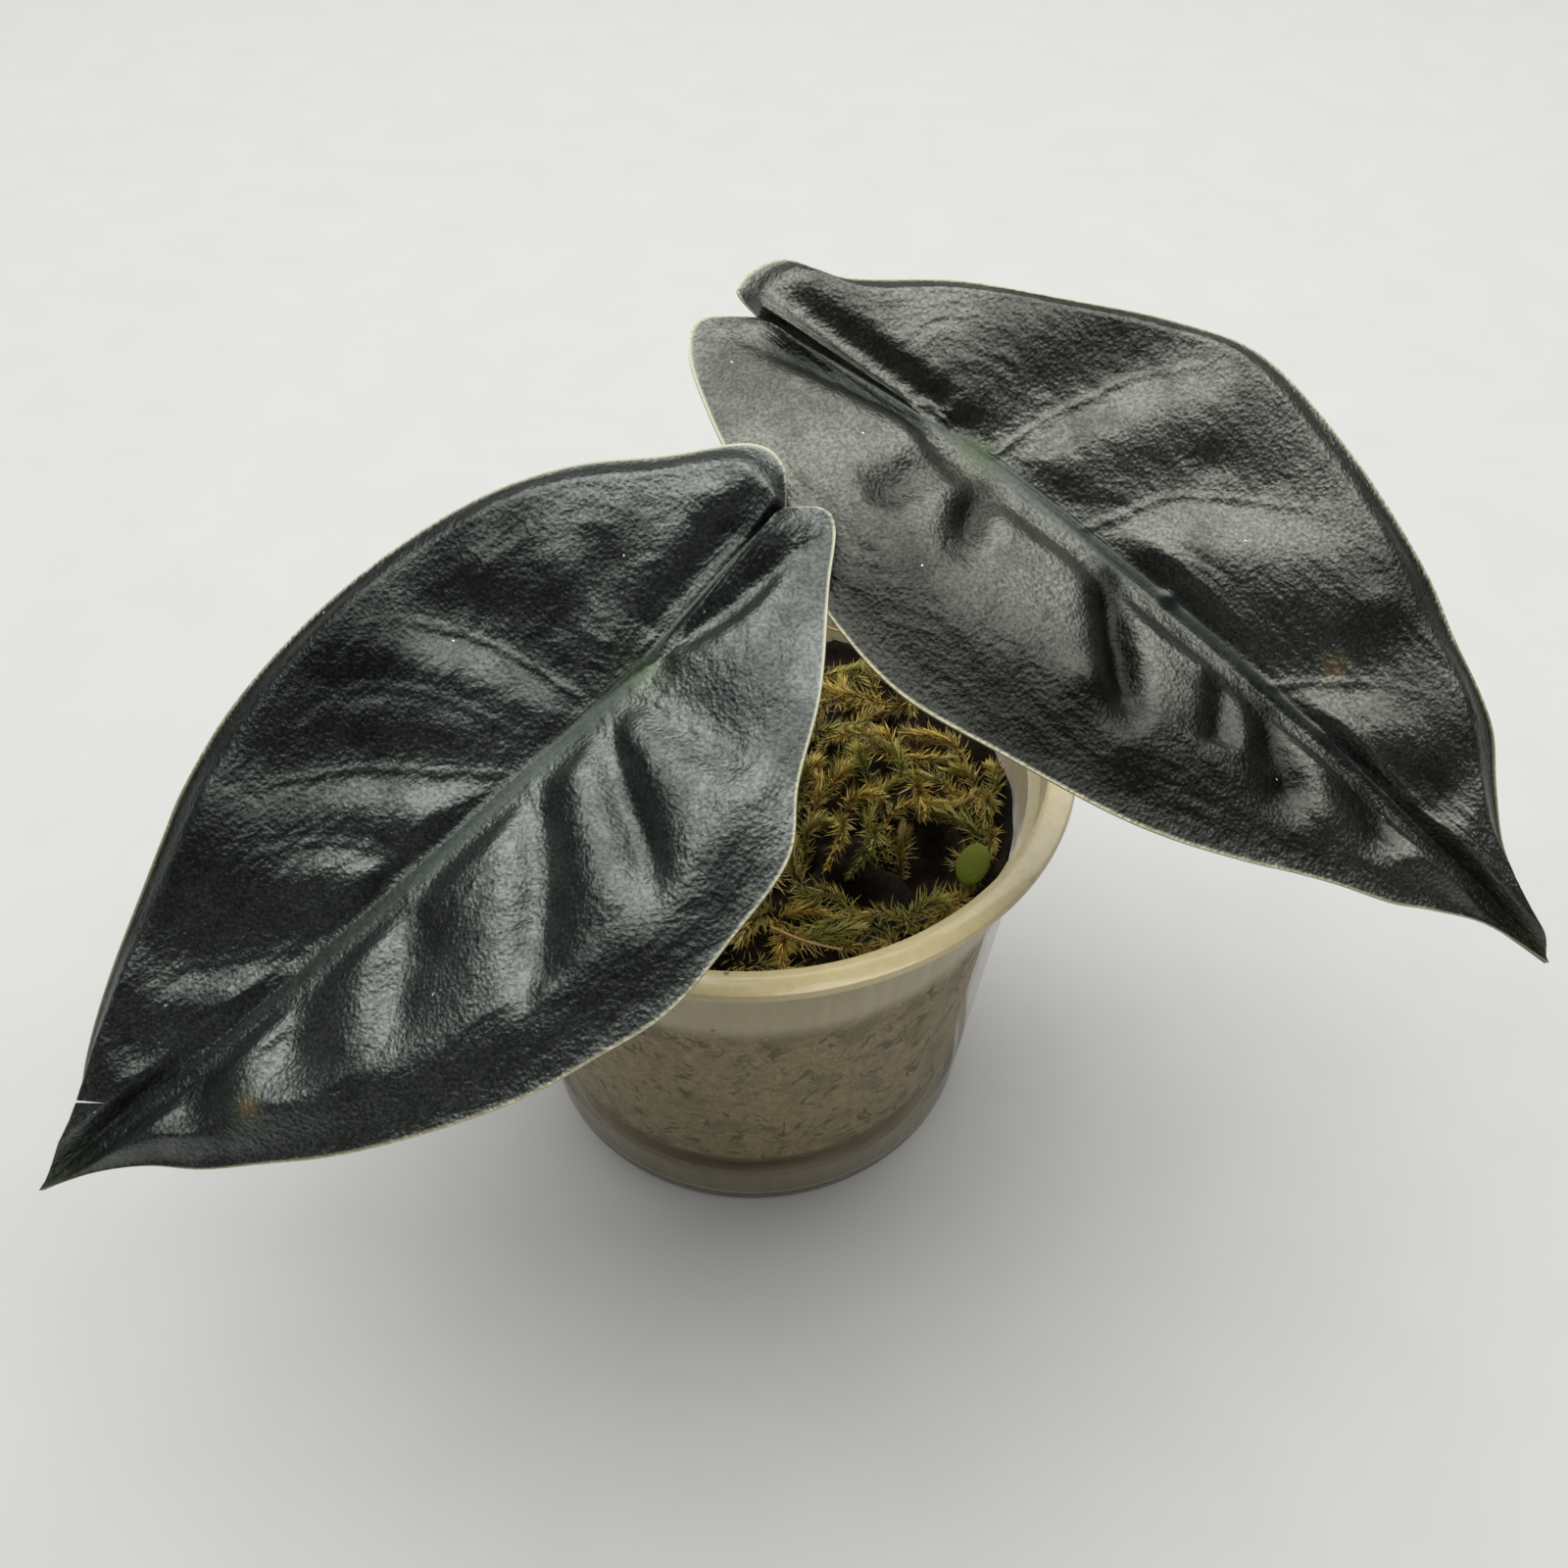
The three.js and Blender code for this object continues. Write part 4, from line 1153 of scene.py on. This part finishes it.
def moss_shoot_finish():
    """Golden yellow, straw, olive or brown by the shoot; leaflets paler at their tips and
    near-black at their bases, a painted shade.
    """
    moss = Finish("moss_shoots", Specular_IOR_Level=0.3, Roughness=0.6)
    tone = moss.painted("tone")
    tip = moss.painted("tip")
    clumps = moss.cloud(moss.place(), 0.16, 3, 0.6)
    hue = moss.ramp(tone * 0.7 + clumps * 1.2 - 0.45, [
        (0.0, (0.04, 0.025, 0.008)), (0.22, (0.15, 0.10, 0.020)), (0.4, (0.55, 0.36, 0.035)),
        (0.55, (0.36, 0.28, 0.08)), (0.75, (0.23, 0.24, 0.028)), (1.0, (0.10, 0.14, 0.020)),
    ])
    pale = moss.mix(0.35, hue, (0.78, 0.64, 0.24))
    colour = moss.mix(tip, hue, pale)
    # Painted shade: each leaflet darkens to near-black towards its base, where the leaflets crowd
    # round the shoot
    colour = moss.mix(moss.between(tip, 0.0, 0.45), (0.012, 0.007, 0.003), colour)
    return moss.finish(Base_Color=colour)


# The stem and the leaf stalks

def make_stem(material):
    """A short corm with a slanted sheath cup round the base of each leaf stalk."""
    stem = turned("stem_skin", [
        (0, STEM_FOOT), (STEM_RADIUS * 0.6, STEM_FOOT), (STEM_RADIUS * 0.95, STEM_FOOT + 5),
        (STEM_RADIUS, STEM_FOOT + 10), (STEM_RADIUS * 0.97, STEM_TOP - 2),
        (STEM_RADIUS * 0.9, STEM_TOP), (0, STEM_TOP),
    ], 48)
    top = STEM_TOP + SHEATH_HEIGHT
    for x, y in SOCKETS:
        sheath = turned("sheath", [
            (0, STEM_TOP - 4), (SHEATH_RADIUS, STEM_TOP - 4), (SHEATH_RADIUS - 0.35, top), (0, top),
        ], 40)
        put(sheath, (x, y, 0))
        cube = bpy.ops.mesh.primitive_cube_add
        slant = added("slant", cube, size=0.04, location=(0, 0, 0.02))
        settle(slant)
        lean = -SHEATH_SLANT if y > 0 else SHEATH_SLANT
        put(slant, (x, y, STEM_TOP + SHEATH_HEIGHT * 0.6), (lean, 0, 0.4 * math.atan2(y, x)))
        carve(sheath, slant)
        carve(stem, sheath, "UNION")
    for x, y in SOCKETS:
        carve(stem, rod("bore", STALK_BASE_RADIUS + GAP, STEM_TOP, STEM_TOP + 30, 40, x, y))
    stem.location = (STEM_PLACE[0] * MM, STEM_PLACE[1] * MM, 0)
    dressed(stem, material, "stem", "stem")


def arc_through(stops, count):
    """Evenly spaced points on a smooth line whose bends tighten where its stops crowd."""
    stops = np.array([2 * stops[0] - stops[1], *stops, 2 * stops[-1] - stops[-2]])
    spans = np.sqrt(np.linalg.norm(np.diff(stops, axis=0), axis=1))
    points = []
    for k in range(1, len(stops) - 2):
        before, start, end, after = stops[k - 1:k + 3]
        first, here, last = spans[k - 1:k + 2]
        way = (end - start) / here
        leaving = here * ((start - before) / first - (end - before) / (first + here) + way)
        entering = here * (way - (after - start) / (here + last) + (after - end) / last)
        for t in np.linspace(0, 1, 40, endpoint=False):
            points.append(eased(start, end, leaving, entering, t))
    points = np.array([*points, stops[-2]])
    gone = np.concatenate([[0], np.cumsum(np.linalg.norm(np.diff(points, axis=0), axis=1))])
    even = np.linspace(0, gone[-1], count)
    return np.column_stack([np.interp(even, gone, column) for column in points.T])


def tube(name, line, radii, sides):
    """A closed round tube along a line, with a radius for each of its points."""
    curve = bpy.data.curves.new(name, "CURVE")
    curve.dimensions = "3D"
    curve.bevel_depth = MM
    curve.bevel_resolution = sides // 4
    curve.use_fill_caps = True
    spline = curve.splines.new("POLY")
    spline.points.add(len(line) - 1)
    for point, place, radius in zip(spline.points, line, radii):
        point.co = (*(place * MM), 1)
        point.radius = radius
    only(new_object(name, curve))
    bpy.ops.object.convert(target="MESH")
    obj = named(name)
    in_edit(obj, close_seams, face_outwards)
    return obj


def make_stalk(plan, material):
    """From its sheath up to just under the joint on the blade's underside."""
    normal = np.array(lean_of(plan).to_matrix() @ Vector((0, 0, 1)))
    joint = np.array(plan["joint"])
    depth = BLADE_THICK + MIDRIB_DEPTH + BOSS_DEPTH + GAP
    x, y = np.add(STEM_PLACE, plan["socket"])
    line = arc_through(np.array([
        (x, y, STEM_TOP + GAP), (x, y, STEM_TOP + SHEATH_HEIGHT), *plan["stalk"],
        joint - normal * (depth + 4), joint - normal * depth,
    ]), STALK_STEPS)
    t = np.linspace(0, 1, len(line))
    radii = STALK_BASE_RADIUS + (STALK_TOP_RADIUS - STALK_BASE_RADIUS) * smooth(t * 1.6)
    radii += STALK_FLARE * smooth((t - 0.88) / 0.12)
    node = plan["name"].replace("blade", "stalk")
    dressed(tube(node + "_skin", line, radii, 24), material, "stalk", node, angle=60)


def make_straws(material):
    """Thin dry straws that lie on the moss, sagging a little in their middles."""
    for number, (start, end) in enumerate(STRAWS, 1):
        ends = np.array([start, end], float)
        middle = ends.mean(0) - (0, 0, 0.6)
        line = arc_through(np.array([ends[0], middle, ends[1]]), 12)
        radii = STRAW_RADIUS * (1 - 0.4 * np.linspace(0, 1, len(line)))
        dressed(tube(f"straw_{number}", line, radii, 8), material, "moss", angle=60)


def straw_finish():
    straw = Finish("straw", Specular_IOR_Level=0.4, Roughness=0.5)
    streaks = straw.cloud(straw.place((0.4, 2, 2)), 1.0, 3)
    return straw.finish(Base_Color=straw.mix(streaks, (0.26, 0.13, 0.04), (0.52, 0.34, 0.14)))


def stem_finish():
    """Olive flesh, ringed with the brown scars of old leaves and streaked with papery skin."""
    stem = Finish("stem_skin", Specular_IOR_Level=0.3, Roughness=0.65)
    fibres = stem.cloud(stem.place((1, 1, 0.12)), 1.5, 4, 0.6)
    rings = stem.cloud(stem.place((0.1, 0.1, 1)), 0.5, 3, 0.6)
    colour = stem.mix(fibres, (0.10, 0.085, 0.03), (0.30, 0.26, 0.11))
    colour = stem.mix(stem.between(rings, 0.52, 0.62) * 0.7, colour, (0.11, 0.06, 0.025))
    return stem.finish(Base_Color=colour, Normal=stem.relief(fibres, 0.2))


def stalk_finish():
    """Waxy olive green that dusks to brown-purple upwards, with fine long streaks."""
    stalk = Finish("stalk_skin", Specular_IOR_Level=0.5)
    height = stalk.axis(stalk.place(), 2)
    streaks = stalk.cloud(stalk.place((1, 1, 0.08)), 1.6, 3, 0.6)
    flecks = stalk.cloud(stalk.place((1, 1, 0.5)), 0.9, 3, 0.6)
    colour = stalk.mix(stalk.between(height, 58, 92), (0.13, 0.15, 0.05), (0.060, 0.048, 0.038))
    colour = stalk.mix(stalk.between(flecks, 0.52, 0.66) * 0.6, colour, (0.045, 0.022, 0.025))
    return stalk.finish(
        Base_Color=colour, Roughness=0.34 + 0.2 * streaks, Normal=stalk.relief(streaks, 0.08))


def make_sprout(material):
    """One small rounded leaf on a short stalk that stands in the moss."""
    x, y = SPROUT_PLACE
    stalk_top = MOSS_LEVEL + 1.5
    sprout = rod("sprout_skin", SPROUT_STALK, MOSS_LEVEL - SPROUT_ROOT, stalk_top, 20, x, y)
    ball = bpy.ops.mesh.primitive_uv_sphere_add
    leaf = added("sprout_leaf", ball, segments=40, ring_count=24, radius=1)
    leaf.scale = (SPROUT_WIDTH / 2 * MM, SPROUT_LENGTH / 2 * MM, 0.55 * MM)
    settle(leaf)
    put(leaf, (x, y, stalk_top + 0.4), (0.5, 0, -0.5))
    carve(sprout, leaf, "UNION")
    dressed(sprout, material, "sprout", "sprout")


def sprout_finish():
    """Fresh yellow-green, paler in patches, with a soft gloss."""
    sprout = Finish("sprout_skin", Specular_IOR_Level=0.15, Roughness=0.55)
    patches = sprout.cloud(sprout.place(), 0.45, 3, 0.6)
    grain = sprout.cloud(sprout.place(), 3, 2)
    colour = sprout.mix(patches, (0.085, 0.115, 0.010), (0.17, 0.20, 0.024))
    return sprout.finish(Base_Color=colour, Normal=sprout.relief(grain, 0.06))


# Stage

def make_stage():
    floor = added("floor", bpy.ops.mesh.primitive_plane_add, size=6)
    paper = Finish("floor_paper", Specular_IOR_Level=0.2)
    grain = paper.cloud(paper.place(), 0.05, 2)
    cover(floor, paper.finish(
        Base_Color=paper.mix(grain, (0.42, 0.42, 0.425), (0.45, 0.45, 0.455)), Roughness=0.6,
    ))


def make_light():
    lamp = bpy.data.lights.new("overhead_light", "AREA")
    lamp.shape = "RECTANGLE"
    lamp.size, lamp.size_y = LIGHT_SIZE
    lamp.energy = LIGHT_POWER
    lamp.color = (1.0, 1.0, 0.96)
    new_object("overhead_light", lamp).location = LIGHT_PLACE
    world = bpy.data.worlds.new("studio")
    world.use_nodes = True
    back = world.node_tree.nodes["Background"]
    back.inputs["Color"].default_value = (0.86, 0.89, 0.93, 1)
    back.inputs["Strength"].default_value = 0.03
    bpy.context.scene.world = world


def make_camera():
    camera = bpy.data.cameras.new("camera")
    camera.lens = CAMERA_LENS
    camera.sensor_width = 36
    camera.clip_start = 0.01
    obj = new_object("camera", camera)
    obj.location = CAMERA_PLACE
    obj.rotation_euler = (math.radians(90 - CAMERA_PITCH), 0, 0)
    bpy.context.scene.camera = obj


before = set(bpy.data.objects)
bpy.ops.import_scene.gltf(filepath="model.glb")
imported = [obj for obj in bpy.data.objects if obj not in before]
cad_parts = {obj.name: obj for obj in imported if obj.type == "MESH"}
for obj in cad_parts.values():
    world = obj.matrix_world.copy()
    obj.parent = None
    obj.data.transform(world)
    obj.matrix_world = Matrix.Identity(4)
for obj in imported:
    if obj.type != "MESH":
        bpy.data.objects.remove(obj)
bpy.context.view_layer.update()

make_camera()
make_stage()
make_light()
bpy.context.scene.view_settings.view_transform = "Standard"

under = under_face()
margin = leaf_margin()
left_face = upper_face(
    "leaf_left", (0.0012, 0.002, 0.0017), (0.016, 0.024, 0.019), (0.93, 1.0, 0.95, 1), 0.45, 0)
right_face = upper_face(
    "leaf_right", (0.0018, 0.0026, 0.0022), (0.022, 0.030, 0.028), (0.98, 1.0, 0.90, 1), 0.65, 0.85)
make_blade(LEFT_BLADE, left_face, under, margin)
make_blade(RIGHT_BLADE, right_face, under, margin)
make_pot(pot_plastic())
make_moss_bed(moss_bed_finish())
make_moss_shoots(moss_shoot_finish())
make_straws(straw_finish())
make_stem(stem_finish())
stalk_skin = stalk_finish()
make_stalk(LEFT_BLADE, stalk_skin)
make_stalk(RIGHT_BLADE, stalk_skin)
make_sprout(sprout_finish())
